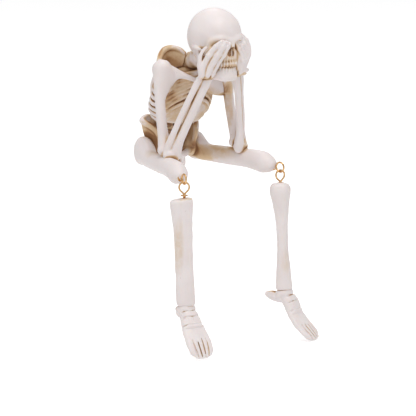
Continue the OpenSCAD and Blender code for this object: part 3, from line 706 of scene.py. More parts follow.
# Per hand: centre lines of the fingers from the outer one inwards with their radii, the
# knuckles that swell, the half widths of the two rows of wrist bones, and how far the
# sheets between the fingers lie behind their centre lines.
HANDS = {
    RIGHT: SimpleNamespace(
        fingers=[[(16.4, -56.6, 62.4), (16.6, -57.1, 64.5), (16.0, -57.3, 68.5),
                  (13.8, -59.9, 75.0), (11.0, -63.1, 80.1), (9.0, -65.2, 82.8)],
                 [(14, -57.4, 62), (13.8, -58.6, 63.9), (12.6, -59.7, 68.5),
                  (10.2, -63.0, 75.1), (8.2, -65.4, 80.0), (6.8, -66.9, 82.8)],
                 [(11, -58, 62), (10.6, -59.1, 63.4), (9.2, -61.4, 68.8),
                  (7.0, -64.7, 74.8), (5.6, -67.0, 79.8), (5.0, -67.9, 81.9)]],
        radii=[(1.5, 1.7, 1.95, 2.0, 1.75, 1.2), (1.6, 1.8, 2.05, 2.1, 1.8, 1.25),
               (1.3, 1.3, 1.3, 1.25, 1.15, 0.9)],
        knuckles=(3, 4), wrist_widths=(4.2, 4.9), sheet_depth=0.45),
    LEFT: SimpleNamespace(
        fingers=[[(12.4, -56, 62), (12.8, -57.5, 64.0), (13.8, -58.5, 67.5), (14.8, -59.8, 72.9),
                  (14.7, -60.4, 77.4), (12.9, -59.9, 81.9), (8.8, -58.9, 86.3)],
                 [(11.2, -57, 61.8), (11.4, -58.5, 63.7), (12.4, -59.0, 66.6),
                  (13.4, -60.1, 71.3), (13.2, -60.3, 75.5), (11.0, -60.1, 79.8),
                  (7.0, -59.3, 84.8)],
                 [(9.8, -57.4, 61.6), (9.8, -59.2, 63.3), (10.6, -59.7, 66.2),
                  (11.4, -60.4, 70.3), (11.2, -60.4, 73.9), (8.8, -60.5, 78.1),
                  (5.2, -60.3, 83.2)],
                 [(8.6, -57.6, 61.6), (8.4, -59.5, 63.1), (8.8, -60.4, 66.4), (9.2, -61.2, 70.0),
                  (8.6, -61.2, 73.5), (6.0, -61.5, 77.5), (3.2, -61.3, 82.4)]],
        radii=[(1.2, 1.2, 1.25, 1.3, 1.25, 1.15, 0.85)] * 4,
        knuckles=(3, 5), wrist_widths=(3.6, 4.2), sheet_depth=0.35)}
# the right thumb: x, y, z, radius
THUMB = [(17.0, -55.6, 62.2, 1.35), (17.4, -56.2, 64.8, 1.25), (17.8, -56.2, 69.7, 1.2),
         (17.4, -56.4, 74.4, 1.2), (16.2, -57.5, 77.6, 1.15), (15.2, -58.6, 79.2, 0.9)]


def hand(side):
    bone = Volume((0, -71, 59), (20.6, -50, 90), 0.3, side)
    shape = HANDS[side]
    # wrist bones: two rows of small pebbles, and a groove across them
    for z, y, width in zip((61.8, 64), (-55, -56.6), shape.wrist_widths):
        for i in range(4):
            t = (i - 1.5) / 1.5
            bone.egg((12.9 + t * (width - 1.1), y - 0.4 * (1 - t * t) + 0.7 * t,
                      z + 0.25 * (i % 3 - 1)), (1.5, 2.0, 1.25), 0.3)
    bone.egg((12.9, -55.4, 63.2), (4.2, 1.7, 2.6), 0.5)
    bone.tube([(17.6, -53.4, 63.2, 0.4), (15.6, -56.6, 61.9, 0.5), (13.2, -58.4, 62.6, 0.55),
               (11, -58.8, 61.5, 0.5), (8.6, -58.2, 62.6, 0.45)], X_AXIS, 0.4, cut=True)
    fingers = [np.array(line, float) for line in shape.fingers]
    # sheets that join neighbouring fingers a little behind their centre lines
    for a, b in zip(fingers[:-1], fingers[1:]):
        centre = (a + b) / 2
        width = np.linalg.norm(a - b, axis=1) / 2
        for i in range(1, len(centre) - 1):
            across = unit(a[i] - b[i])
            normal = unit(np.cross(across, centre[i + 1] - centre[i]))
            shift = (normal if normal[1] > 0 else -normal) * shape.sheet_depth
            bone.tube([(*(centre[i] + shift), width[i] + 0.3, 0.95),
                       (*(centre[i + 1] + shift), width[i + 1] + 0.2, 0.9)], across, 0.3, steps=1)
    across = (0.9, 0.1 * side, 0)
    for line, radii in zip(fingers, shape.radii):
        bone.tube([(*point, r, r * 0.9) for point, r in zip(line, radii)], across, 0.25)
        for j in shape.knuckles:
            bone.egg(line[j], (radii[j] + 0.12, radii[j] + 0.12, 1.3), 0.9)
    if side == LEFT:
        # palm, and a bump in place of the thumb
        bone.tube([(8.2, -59.8, 64.6, 1.9, 1.0), (7.4, -60.0, 69.5, 2.7, 1.0),
                   (6.8, -60.2, 74, 2.6, 1.0), (5.2, -60.6, 78, 2.0, 0.9)],
                  (0.804, -0.595, 0), 0.5)
        bone.egg((13.8, -56.4, 63.6), (1.6, 1.8, 2), 1)
    else:
        # thumb, joined to the hand by a thin hollow web
        bone.tube(THUMB, across, 0.4)
        thumb, finger = np.array(THUMB)[:, :3], fingers[0]
        gap = thumb - finger
        for i in (1, 2):
            low = (thumb[i] + finger[i]) / 2 + [0, 1.7, 0]
            high = (thumb[i + 1] + finger[i + 1]) / 2 + [0.6, 1.9, -0.6 * (i - 1)]
            bone.tube([(*low, np.linalg.norm(gap[i]) / 2 + 0.6, 0.7),
                       (*high, np.linalg.norm(gap[i + 1]) / 2 + 0.2, 0.6)],
                      unit(gap[i]), 0.5, steps=1)
    bone.wobble(0.05, 6, 53 + side)
    return bone


# ---------- legs ----------
def thigh(side):
    bone = Volume((11, -62, 0), (38.5, 6.5, 24), 0.42, side)
    bone.tube([(18.6, 4.2, 12, 3.4, 4.6), (18.6, 2.6, 12.2, 4.4, 7.2), (18.8, -0.4, 12, 5, 8),
               (19.4, -3.6, 11.2, 5.5, 7.6), (20.4, -7, 9.4, 5.4, 6.1), (21.6, -11, 8.5, 5.2, 5.2),
               (23, -17, 8.2, 5.1, 5.2), (25.6, -28, 8.2, 5, 5.5), (28.6, -41, 8.1, 5.1, 5.8),
               (31, -50.4, 7.3, 5.7, 6.2), (32.4, -55, 6.6, 5.4, 5.6), (33.2, -57.6, 5.8, 4, 4)],
              X_AXIS, 0, cap=0.85)
    # bump of the hip, and the two knee knuckles
    bone.egg((19.8, -1.2, 16), (3.8, 4.4, 4.4), 2.4)
    bone.egg((20, -0.6, 9), (3.8, 4.6, 5.2), 2.6)
    for offset in (-2.4, 2.4):
        bone.egg((31.4 + offset, -53.4, 5.4), (3, 3.6, 3.6), 2)
    bone.egg((31.8, -53, 10.2), (3.4, 3.6, 2.4), 2)
    bone.wobble(0.12, 12, 59 + side)
    bone.cut_below(0.03)
    return bone


SPLAY = math.radians(11.5)                # of the thighs
TURN = {RIGHT: 5.0, LEFT: 25.0}           # of the hanging legs about z, in degrees
KNEE = np.array([34.2, -59.8, 5.1])
KNEE_REACH = 4.5                          # from KNEE along the thigh to the hanging line
KNEE_DROP = 1.765
LEG_TOP_DROP = 7.9                        # from there down the leg to the shin's origin
SHIN_LENGTH = 64.0
ANKLE_GAP = 0.08


def leg_frame(side):
    """Origin and axes of a hanging leg as it would be on the left: across, back, up."""
    turn = math.radians(TURN[side])
    thigh_run = np.array([math.sin(SPLAY), -math.cos(SPLAY), 0])
    down = unit([0.016, -0.042, -1])
    hinge = KNEE + KNEE_REACH * thigh_run - np.array([0, 0, KNEE_DROP])
    origin = hinge + LEG_TOP_DROP * down
    up = -down
    across = np.array([math.cos(turn), math.sin(turn), 0])
    across = unit(across - up * (across @ up))
    return origin, across, np.cross(up, across), up


def to_leg(side, stations):
    origin, across, back, up = leg_frame(side)
    return [(*(origin + x * across + y * back + z * up), *radii) for x, y, z, *radii in stations]


# broad direction of the shin, and its stations: shift along it, height, half width, half depth
SHIN_BROAD = {RIGHT: np.array([0.83, 0.56, 0.0]), LEFT: np.array([0.72, 0.69, 0.0])}
SHIN = {
    RIGHT: [(1.4, -0.6, 6.2, 5.6), (1.7, -2.8, 6.8, 5.9), (1.7, -5.5, 6.8, 5.8),
            (1.5, -11, 6.3, 5), (1.2, -18, 5.8, 4.3), (0.9, -28, 5.45, 3.9),
            (0.7, -38, 5.35, 3.8), (0.4, -47, 5.35, 4), (0.2, -56, 5.5, 4.6),
            (0.1, -SHIN_LENGTH + 2, 5.4, 4.9), (0.1, -SHIN_LENGTH + 0.6, 5.1, 4.6)],
    LEFT: [(-1.2, -1.2, 5.9, 5.2), (-1.6, -3, 7.1, 6), (-1.5, -6, 7.1, 5.9),
           (-0.9, -11, 6.5, 4.9), (0.1, -18, 5.7, 4), (0.4, -28, 5.2, 3.3),
           (0.5, -38, 5.0, 3.2), (0.6, -47, 5.2, 3.6), (0.6, -56, 5.5, 4.5),
           (0.5, -SHIN_LENGTH + 2, 5.6, 4.9), (0.4, -SHIN_LENGTH + 0.6, 5.2, 4.6)]}
# channels down the shin: shift along the broad direction, distance in front, width factor
CHANNELS = ((-1.8, 5.3, 1.0), (2.4, 5.2, 0.6), (-4.2, 4.4, 0.6))
# their course: extra distance in front, height
CHANNEL_COURSE = ((2.2, -5), (1.1, -11), (0.35, -19), (-0.15, -30), (-0.1, -42), (0.8, -53),
                  (2, -59))


def shin(side):
    origin, _, _, up = leg_frame(side)
    box = np.array(to_leg(side, [(side * x, y, z) for x, y, z in (
        (-10, -10, 0.5), (10, 10, 0.5), (10, -10, -66), (-10, 10, -66))]))
    bone = Volume(box.min(0), box.max(0), 0.4, side)
    broad = SHIN_BROAD[side]
    bone.tube([(*(origin + shift * broad + z * up), w, d) for shift, z, w, d in SHIN[side]],
              broad, 0, cap=0.3, power=2.5)
    if side == RIGHT:
        bone.cut_in_front(origin - 4.6 * broad - 0.6 * up, up + 0.15 * broad, 1.6)
    front = np.cross(broad, up)
    for shift, out, width in CHANNELS:
        bone.tube([(*(origin + shift * broad + (out + extra) * front + z * up), width, 1.35)
                   for extra, z in CHANNEL_COURSE], broad, 1.6, steps=6, cut=True)
    bone.wobble(0.13, 13, 67 + side)
    return bone


FOOT_PITCH = math.radians(48)
FOOT_LENGTH = {RIGHT: 31.0, LEFT: 32.2}
FOOT_HALF_WIDTH = {RIGHT: 8.0, LEFT: 8.3}
LEFT_FOOT_SAG = 2.3


def foot(side):
    across = leg_frame(side)[1]
    top = -SHIN_LENGTH - ANKLE_GAP
    forward = np.array([0, -math.cos(FOOT_PITCH), -math.sin(FOOT_PITCH)])
    rise = np.array([0, -math.sin(FOOT_PITCH), math.cos(FOOT_PITCH)])
    ankle = np.array([0, -0.6, top - 4.2])
    length = FOOT_LENGTH[side]
    k = FOOT_HALF_WIDTH[side] / 7.6       # the widths below are for a half width of 7.6
    box = np.array(to_leg(side, [(x, y, z) for x in (-10.5, 10.5)
                                 for y, z in ((14, top), (-28, top - 32))]))
    bone = Volume(box.min(0), box.max(0), 0.34, side)

    def at(share, x, height, *radii):
        """A station at a share of the foot's length from the ankle."""
        if side == LEFT:
            height = height - LEFT_FOOT_SAG * math.sin(math.pi * min(max(share, 0), 1))
        point = ankle + share * length * forward + height * rise
        return (x, point[1], point[2]) + radii

    def sweep(stations, blend, **options):
        bone.tube(to_leg(side, stations), across, blend, **options)

    # ankle: collar of bone under the shin
    sweep([(0, 0, top - 0.9, 5.1, 4.7), (0, -0.2, top - 2.2, 5.5, 4.9),
           (0, -0.6, top - 3.4, 5.0, 4.6)], 0, cap=0.3, power=2.4)
    # instep blocks, then the plate under the toes
    sweep([at(-0.02, 0, 0.6, 4.6, 4.2), at(0.12, 0.2, 1.3, 5.4 * k, 4),
           at(0.24, 0.3, 0.9, 6.0 * k, 3.7), at(0.34, 0.3, 0.3, 6.5 * k, 3.3)],
          0.5, cap=0.5, power=2.4)
    sweep([at(0.36, 0.3, -0.3, 6.5 * k, 2.9), at(0.52, 0.3, -0.6, 7.1 * k, 2.6),
           at(0.68, 0.2, -0.9, 7.4 * k, 2.3), at(0.82, 0, -1.3, 7.0 * k, 1.9),
           at(0.93, -0.2, -1.7, 4.9 * k, 1.4)], 0.3, power=2.3)
    # five rays of foot and toe bones, from the little toe to the big toe at the mid-plane
    for i in range(5):
        t = (i - 2) / 2.0
        off = abs(t)
        end = 0.99 - 0.075 * t * t - 0.012 * (1 - t)
        r = (1.5 + 0.15 * (t > 0.6)) * k
        sweep([at(0.34, -t * 4.8 * k, 1.2 - 0.7 * off, r, r * 0.7),
               at(0.5, -t * 5.4 * k, 0.9 - 0.7 * off, r * 0.95, r * 0.7),
               at(0.66, -t * 5.8 * k, 0.4 - 0.7 * off, r * 1.05, r * 0.75),
               at(0.8, -t * 5.6 * k, -0.3 - 0.5 * off, r * 1.0, r * 0.7),
               at(0.5 * (0.8 + end), -t * 4.9 * k, -0.9 - 0.3 * off, r * 1.02, r * 0.7),
               at(end - 0.02, -t * 3.7 * k, -1.5 - 0.2 * off, r * 0.85, r * 0.6)], 0.9)
    # slots between the toes
    for i, deep in enumerate((-0.1, 0.45, 0.0, -0.1)):
        t = (i - 1.5) / 2.0
        sweep([at(0.62, -t * 5.6 * k, 1.1 - deep * 0.6, 0.3, 0.4),
               at(0.72, -t * 5.6 * k, 0.7 - deep * 0.6, 0.42, 0.7 + 0.7 * deep),
               at(0.86, -t * 5.0 * k, -0.3 - deep * 0.6, 0.42, 0.7 + 0.7 * deep),
               at(0.96, -t * 4.2 * k, -1.3, 0.32, 0.8)], 0.4, cut=True)
    # seams between the bone rows, across and then along the instep
    for share, height, width in ((0.05, 3.7, 6.2), (0.17, 3.9, 6.8), (0.32, 3.1, 7.4)):
        sweep([at(share + ahead, x * width * k, height + lift, 0.3, 0.5)
               for x, ahead, lift in ((-1, 0, -3.2), (-0.55, 0, 0.2), (0, 0.015, 0.8),
                                      (0.55, 0, 0.2), (1, 0, -3.2))], 0.35, cut=True)
    for x in (-2.6, 0.4, 3.2):
        sweep([at(0.18, x * k, 4.7, 0.22, 0.4), at(0.31, x * 1.15 * k, 4.1, 0.22, 0.4)],
              0.3, cut=True)
    # heel, shorter on the right
    cutback = 0.0 if side == LEFT else -3.0
    sweep([(0, 0.4, top - 4.6, 3.8, 3.6), (0, 4.4, top - 4.7, 3.5, 3.3),
           (0, 8.4 + cutback, top - 3.9, 3.0, 2.7), (0, 11.2 + cutback, top - 3.2, 2.1, 1.7)],
          0.5, cap=0.9)
    bone.wobble(0.08, 7, 71 + side)
    return bone


# (name of the CAD piece, function, its arguments)
BONES = [(make.__name__, make, ()) for make in (skull, jaw, rib_cage, spine, pelvis)]
BONES += [(f"{word}_{make.__name__}", make, (side,))
          for make in (shoulder_blade, collarbone, upper_arm, forearm, hand, thigh, shin, foot)
          for side, word in ((RIGHT, "right"), (LEFT, "left"))]


# ---------- where the antiquing wash and the painted shade lie ---
COARSE_CELL = 1.0
# painted shade in the hollows between bones: blur radius in coarse cells, weight, gain
HOLLOW_SHADE_LEVELS = ((2, 0.32, 3.0), (4, 0.38, 3.0), (8, 0.3, 4.2))


def cavity(volume, vertices, normals):
    """0 on open surfaces, towards 1 in fine grooves; and how sharp the ridge is."""
    groove = 0
    for reach, weight in ((0.45, 0.3), (0.9, 0.4), (1.6, 0.3)):
        distance = volume.sample(vertices + normals * reach)
        groove = groove + weight * np.clip((reach - np.minimum(distance, reach)) / reach, 0, 1)
    distance = volume.sample(vertices - normals * 0.8)
    return groove, np.clip((0.8 + np.maximum(distance, -0.8)) / 0.8, 0, 1)


def build(item):
    node, make, arguments = item
    volume = make(*arguments)
    vertices, quads, normals = volume.mesh()
    keep, quads = drop_specks(len(vertices), quads)
    vertices, normals = vertices[keep], normals[keep]
    groove, edge = cavity(volume, vertices, normals)
    return SimpleNamespace(node=node, volume=volume, vertices=vertices, quads=quads,
                           normals=normals, groove=groove, edge=edge)


def occupancy(parts):
    """How full of resin each cell is, on a coarse grid over the whole figure."""
    h = COARSE_CELL
    low = np.min([part.vertices.min(0) for part in parts], 0) - 14
    high = np.max([part.vertices.max(0) for part in parts], 0) + 14
    filled = np.zeros(tuple(np.ceil((high - low) / h).astype(int) + 1), F)
    for part in parts:
        volume = part.volume
        end = volume.low + (volume.count - 1) * volume.cell
        first = np.ceil((volume.low - low) / h).astype(int)
        last = np.floor((end - low) / h).astype(int)
        source = []
        for i in range(3):
            place = low[i] + np.arange(first[i], last[i] + 1) * h
            index = np.round((place - volume.low[i]) / volume.cell).astype(int)
            source.append(np.clip(index, 0, volume.count[i] - 1))
        share = np.clip(0.5 - volume.values[np.ix_(*source)] / h, 0, 1)
        region = tuple(slice(first[i], last[i] + 1) for i in range(3))
        filled[region] = np.maximum(filled[region], share)
    return low, filled


def blur(values, radius):
    """Mean over a cube that reaches radius cells each way."""
    for axis in range(3):
        sums = np.cumsum(values, axis=axis, dtype=np.float64)
        sums = np.concatenate([np.zeros_like(np.take(sums, [0], axis)), sums], axis)
        n = values.shape[axis]
        high = np.minimum(np.arange(n) + radius + 1, n)
        low = np.maximum(np.arange(n) - radius, 0)
        difference = np.take(sums, high, axis) - np.take(sums, low, axis)
        values = (difference / (2 * radius + 1)).astype(F)
    return values


def find_hollows(parts):
    """Per bone, how closely other resin surrounds each vertex, which is painted as shade between
    the bones.
    """
    low, filled = occupancy(parts)
    levels = [(Grid(low, COARSE_CELL, blur(blur(filled, r // 2), r - r // 2)), r, weight, gain)
              for r, weight, gain in HOLLOW_SHADE_LEVELS]
    return [sum(weight * np.clip(grid.sample(part.vertices + part.normals * (r * 1.15)) * gain,
                                 0, 1) for grid, r, weight, gain in levels)
            for part in parts]


# brown wash left on, together with painted shade in the armpits, crotch and other sheltered places:
# centre, half sizes, how much, which bones
WASH_AND_SHADE_SPOTS = [
    ((-14, -20, 68), (12, 9, 10), 0.95, "blade"), ((14, -20, 68), (12, 9, 10), 0.95, "blade"),
    ((-8, -22, 63), (12, 12, 6), 0.6, "rib"), ((8, -22, 63), (12, 12, 6), 0.6, "rib"),
    ((0, -22, 66), (10, 11, 10), 0.3, "spine"), ((-12, -27, 46), (13, 14, 17), 0.72, "rib"),
    ((12, -24, 42), (10, 12, 12), 0.6, "rib"), ((4, -34, 50), (9, 7, 10), 0.3, "rib"),
    ((-19, -13, 45), (5, 11, 14), 0.26, "rib"), ((19, -13, 45), (5, 11, 14), 0.26, "rib"),
    ((0, -2, 46), (16, 6, 14), 0.24, "rib"), ((-17, -27, 45.4), (5, 5, 4), 0.4, "rib"),
    ((19.5, -27, 44.6), (3.4, 4, 3), 0.6, "rib"), ((0, -12, 32), (16, 16, 6), 0.6, "rib spine"),
    ((-12.5, -4, 20), (9, 8, 13), 0.66, "pelvis"), ((12.5, -4, 20), (9, 8, 13), 0.66, "pelvis"),
    ((0, 0, 16), (10, 9, 19), 0.95, "pelvis spine"), ((-18, -4, 22), (7, 10, 12), 0.4, "pelvis"),
    ((-10, -13, 7), (9, 10, 8), 0.5, "thigh pelvis"),
    ((12, -12, 7), (8, 12, 9), 0.56, "thigh pelvis"),
    ((19, -14, 9), (7, 14, 6), 0.5, "left_thigh"), ((24, -34, 2.6), (6, 26, 3.4), 0.32, "thigh"),
    ((22, -24, 13.4), (5, 12, 2.4), 0.42, "left_thigh"),
    ((-22, -4, 5), (7, 10, 5), 0.3, "thigh"), ((-33, -54, 10), (4, 4, 3), 0.14, "thigh"),
    ((22, -29, 42), (3.2, 6, 28), 0.62, "left_upper_arm"),
    ((22.4, -28, 50), (4, 5, 6), 0.4, "left_upper_arm"),
    ((-23.4, -28, 34), (2, 4, 18), 0.4, "right_upper_arm"),
    ((27, -37, 14.6), (7, 6, 7), 0.6, "forearm upper_arm"),
    ((-25, -38, 12.8), (6, 5, 3.4), 0.5, "forearm upper_arm"),
    ((-12.6, -56.4, 61.4), (5.6, 3.6, 1.7), 0.9, "hand forearm"),
    ((10.6, -57.4, 61.6), (5.4, 3.6, 1.9), 0.8, "hand forearm"),
    ((0, -62, 76), (7, 5, 9), 0.5, "skull jaw"),
    ((0, -62.6, 67.4), (6.6, 3.6, 1.6), 0.6, "skull jaw"),
    ((9, -57, 72), (5, 7, 9), 0.4, "skull"), ((-10, -57, 72), (4, 6, 9), 0.5, "skull"),
    ((-15.4, -55.4, 74), (2.4, 3, 6), 0.8, "hand"), ((-4.4, -66, 74), (2.2, 4, 10), 0.36, "hand"),
    ((5.2, -63.5, 76), (3.4, 4, 9), 0.42, "hand"),
    ((-9, -34.6, 57), (6, 4, 2.6), 0.4, "collarbone"),
    ((9, -34.6, 57), (6, 4, 2.6), 0.4, "collarbone"),
    ((-17, -31, 54.6), (6, 4, 3), 0.2, "collarbone upper_arm"),
    ((-24, -20, 63), (6, 8, 6), 0.34, "collarbone upper_arm"),
    ((34, -58, -69.4), (5, 8, 2), 0.85, "left_foot"),
    ((-37.6, -62, -70), (3, 4, 2.4), 0.75, "right_foot"),
    ((35, -67, -73.6), (2.2, 4, 1.6), 0.6, "left_foot"),
    ((-35.2, -64.5, -5.4), (8, 8, 1.6), 0.6, "right_shin"),
    ((35.2, -64.5, -5.4), (8, 8, 1.4), 0.34, "left_shin"),
    ((-16, -20, 77), (5, 3, 1.4), 0.25, "blade")]
# how strongly the wash gathers in the grooves of each kind of bone
GROOVE_WASH = {"rib": 0.34, "hand": 0.46, "forearm": 0.56, "shin": 0.4, "foot": 0.22,
               "skull": 0.8, "jaw": 0.76, "spine": 0.3, "pelvis": 0.5, "blade": 0.5}
OTHER_GROOVE_WASH = 0.62
# yellowed patches: centre, half sizes
YELLOWED = {"right_shin": ((-39.8, -65.2, -34), (3.2, 3.8, 20)),
            "left_shin": ((35.0, -69.2, -52), (2.8, 2.8, 10)),
            "right_thigh": ((-23, -20, 12), (5, 9, 5)),
            "left_thigh": ((21, -26, 12), (5, 12, 6)),
            "skull": ((-10, -58, 80), (4, 6, 5))}


def spot_distance(vertices, centre, half_sizes):
    """0 at a spot's centre, 1 at its half sizes."""
    q = (vertices - np.array(centre, float)) / np.array(half_sizes, float)
    return np.sqrt((q * q).sum(1))


def wash_amount(part, hollow_shade):
    strength = next((amount for kind, amount in GROOVE_WASH.items() if kind in part.node),
                    OTHER_GROOVE_WASH)
    # wash that gathers in the grooves, plus painted shade where other bones enclose the surface
    wash_and_shade = (np.clip(part.groove * 1.3 - 0.1, 0, 1) * strength
            + np.clip(hollow_shade - 0.14, 0, 1) * 0.55)
    # spots of wash left on and of painted shade, stronger where the surface is sheltered
    spots_of_wash_and_shade = 0
    for centre, half_sizes, amount, bones in WASH_AND_SHADE_SPOTS:
        if any(kind in part.node for kind in bones.split()):
            f = np.clip(1.25 - spot_distance(part.vertices, centre, half_sizes), 0, 1)
            f = np.minimum(f * 1.6, 1)
            spots_of_wash_and_shade = spots_of_wash_and_shade + amount * f * f * (3 - 2 * f)
    sheltered = np.clip(0.5 + 0.8 * np.maximum(part.groove, hollow_shade * 0.8), 0, 1.1)
    return np.clip(wash_and_shade + spots_of_wash_and_shade * sheltered, 0, 1.15)


def stain_amount(part):
    if part.node not in YELLOWED:
        return np.zeros(len(part.vertices))
    return np.clip(1.15 - spot_distance(part.vertices, *YELLOWED[part.node]), 0, 1)


# ---------- materials ----------
def srgb(*channels):
    """Linear colour with alpha from sRGB channels of 0 to 255."""
    return tuple((c / 255) / 12.92 if c / 255 <= 0.04045 else ((c / 255 + 0.055) / 1.055) ** 2.4
                 for c in channels) + (1.0,)


class Shader:
    """A material around one Principled node; values may be numbers or sockets."""

    def __init__(self, name):
        self.material = bpy.data.materials.new(name)
        self.material.use_nodes = True
        self.tree = self.material.node_tree
        self.tree.nodes.clear()
        output = self.node("OutputMaterial")
        self.principled = self.node("BsdfPrincipled")
        self.feed(output.inputs[0], self.principled.outputs[0])

    def node(self, kind, **settings):
        node = self.tree.nodes.new("ShaderNode" + kind)
        for key, value in settings.items():
            setattr(node, key, value)
        return node

    def feed(self, socket, value):
        if isinstance(value, bpy.types.NodeSocket):
            self.tree.links.new(value, socket)
        else:
            socket.default_value = value

    def surface(self, name, value):
        self.feed(self.principled.inputs[name], value)

    def math(self, operation, a, b):
        node = self.node("Math", operation=operation)
        self.feed(node.inputs[0], a)
        self.feed(node.inputs[1], b)
        return node.outputs[0]

    def attribute(self, name):
        return self.node("Attribute", attribute_name=name).outputs["Fac"]

    def coords(self):
        return self.node("TexCoord").outputs["Object"]

    def noise(self, scale, detail=3.0, roughness=0.55, stretch=None):
        node = self.node("TexNoise")
        node.inputs["Scale"].default_value = scale
        node.inputs["Detail"].default_value = detail
        node.inputs["Roughness"].default_value = roughness
        vector = self.coords()
        if stretch:
            mapping = self.node("Mapping")
            mapping.inputs["Scale"].default_value = stretch
            self.feed(mapping.inputs["Vector"], vector)
            vector = mapping.outputs[0]
        self.feed(node.inputs["Vector"], vector)
        return node.outputs["Fac"]

    def voronoi(self, scale):
        node = self.node("TexVoronoi")
        node.inputs["Scale"].default_value = scale
        self.feed(node.inputs["Vector"], self.coords())
        return node.outputs["Distance"]

    def ramp(self, value, start, end):
        """Eased grey ramp between two (position, level) stops."""
        node = self.node("ValToRGB")
        node.color_ramp.interpolation = "EASE"
        for element, (position, level) in zip(node.color_ramp.elements, (start, end)):
            element.position = position
            element.color = (level, level, level, 1)
        self.feed(node.inputs[0], value)
        return node.outputs[0]

    def mix(self, factor, a, b):
        node = self.node("Mix", data_type="RGBA")
        self.feed(node.inputs[0], factor)
        self.feed(node.inputs[6], a)
        self.feed(node.inputs[7], b)
        return node.outputs[2]

    def bump(self, height, strength, distance):
        node = self.node("Bump")
        node.inputs["Strength"].default_value = strength
        node.inputs["Distance"].default_value = distance
        self.feed(node.inputs["Height"], height)
        self.surface("Normal", node.outputs[0])


def resin():
    k = Shader("resin_antiqued_painted_shade")
    broad = k.noise(scale=55, detail=3, roughness=0.5)
    medium = k.noise(scale=260, detail=4, roughness=0.6)
    fine = k.noise(scale=1500, detail=5, roughness=0.65)
    # ivory ground with warmer clouds
    ground = k.mix(k.ramp(broad, (0.3, 0.0), (0.72, 1.0)), srgb(236, 227, 226),
                   srgb(230, 220, 218))
    ground = k.mix(k.math("MULTIPLY", k.ramp(medium, (0.5, 0.0), (0.8, 1.0)), 0.25), ground,
                   srgb(228, 215, 204))
    # brown wash left in the hollows after wiping, together with painted shade between the bones;
    # its border broken up by noise
    wash_and_shade = k.attribute("wash_and_shade")
    for noise, amount in ((medium, 0.32), (fine, 0.16)):
        centred = k.math("SUBTRACT", noise, 0.5)
        wash_and_shade = k.math("ADD", wash_and_shade, k.math("MULTIPLY", centred, amount))
    colour = k.mix(k.ramp(wash_and_shade, (0.16, 0.0), (0.5, 1.0)), ground, srgb(216, 188, 152))
    colour = k.mix(k.ramp(wash_and_shade, (0.46, 0.0), (0.86, 1.0)), colour, srgb(182, 140, 98))
    colour = k.mix(k.math("MULTIPLY", k.ramp(wash_and_shade, (0.8, 0.0), (1.0, 1.0)), 0.6), colour,
                   srgb(128, 84, 52))
    # yellowed patches
    stain = k.attribute("stain")
    stain = k.math("MULTIPLY", stain, k.ramp(medium, (0.28, 0.45), (0.62, 1.0)))
    colour = k.mix(k.math("MULTIPLY", stain, 0.85), colour, srgb(208, 179, 138))
    # rubbed edges stay pale
    colour = k.mix(k.math("MULTIPLY", k.attribute("edge"), 0.55), colour, srgb(242, 236, 232))
    # pin-hole pores, in patches
    pore = k.ramp(k.voronoi(scale=420), (0.045, 1.0), (0.085, 0.0))
    patches = k.ramp(k.noise(scale=120, detail=2, roughness=0.5), (0.56, 0.0), (0.64, 1.0))
    pore = k.math("MULTIPLY", pore, patches)
    colour = k.mix(k.math("MULTIPLY", pore, 0.7), colour, srgb(120, 84, 56))
    k.surface("Base Color", colour)
    k.surface("Roughness", k.ramp(wash_and_shade, (0.1, 0.46), (0.8, 0.68)))
    k.surface("Subsurface Weight", 0.12)
    k.surface("Subsurface Radius", (1.0, 0.6, 0.4))
    k.surface("Subsurface Scale", 0.0012)
    k.surface("Specular IOR Level", 0.42)
    height = k.math("ADD", k.math("MULTIPLY", medium, 0.7), k.math("MULTIPLY", fine, 0.3))
    height = k.math("SUBTRACT", height, k.math("MULTIPLY", pore, 0.9))
    k.bump(height, strength=0.35, distance=0.00016)
    return k.material


def brass():
    k = Shader("brass_wire_bright")
    tone = k.ramp(k.noise(scale=900, detail=3, roughness=0.6), (0.35, 0.0), (0.7, 1.0))
    k.surface("Base Color", k.mix(tone, srgb(235, 198, 146), srgb(203, 152, 96)))
    k.surface("Metallic", 1.0)
    gloss = k.noise(scale=1600, detail=2, roughness=0.5)
    k.surface("Roughness", k.ramp(gloss, (0.3, 0.2), (0.7, 0.36)))
    k.bump(k.noise(scale=2600, detail=3, roughness=0.6, stretch=(1, 1, 0.3)),
           strength=0.2, distance=0.00003)
    return k.material


def steel():
    k = Shader("steel_pin_drawn")
    streaks = k.noise(scale=1400, detail=3, roughness=0.6, stretch=(1, 1, 0.2))
    k.surface("Base Color", k.mix(streaks, srgb(176, 178, 182), srgb(142, 144, 150)))
    k.surface("Metallic", 1.0)
    k.surface("Roughness", k.ramp(streaks, (0.3, 0.28), (0.7, 0.45)))
    k.bump(streaks, strength=0.2, distance=0.00003)
    return k.material


def pale_floor():
    k = Shader("floor_pale")
    k.surface("Base Color", k.mix(k.noise(scale=3, detail=2, roughness=0.5),
                                  srgb(250, 250, 250), srgb(246, 246, 246)))
    k.surface("Roughness", 0.9)
    # glows more to the camera than to the figure
    k.surface("Emission Color", (1, 1, 1, 1))
    seen = k.node("LightPath").outputs["Is Camera Ray"]
    k.surface("Emission Strength", k.math("ADD", k.math("MULTIPLY", seen, 0.36), 0.08))
    k.surface("Specular IOR Level", 0.1)
    return k.material


# ---------- figure ----------
def link_object(name, data):
    obj = bpy.data.objects.new(name, data)
    bpy.context.scene.collection.objects.link(obj)
    return obj


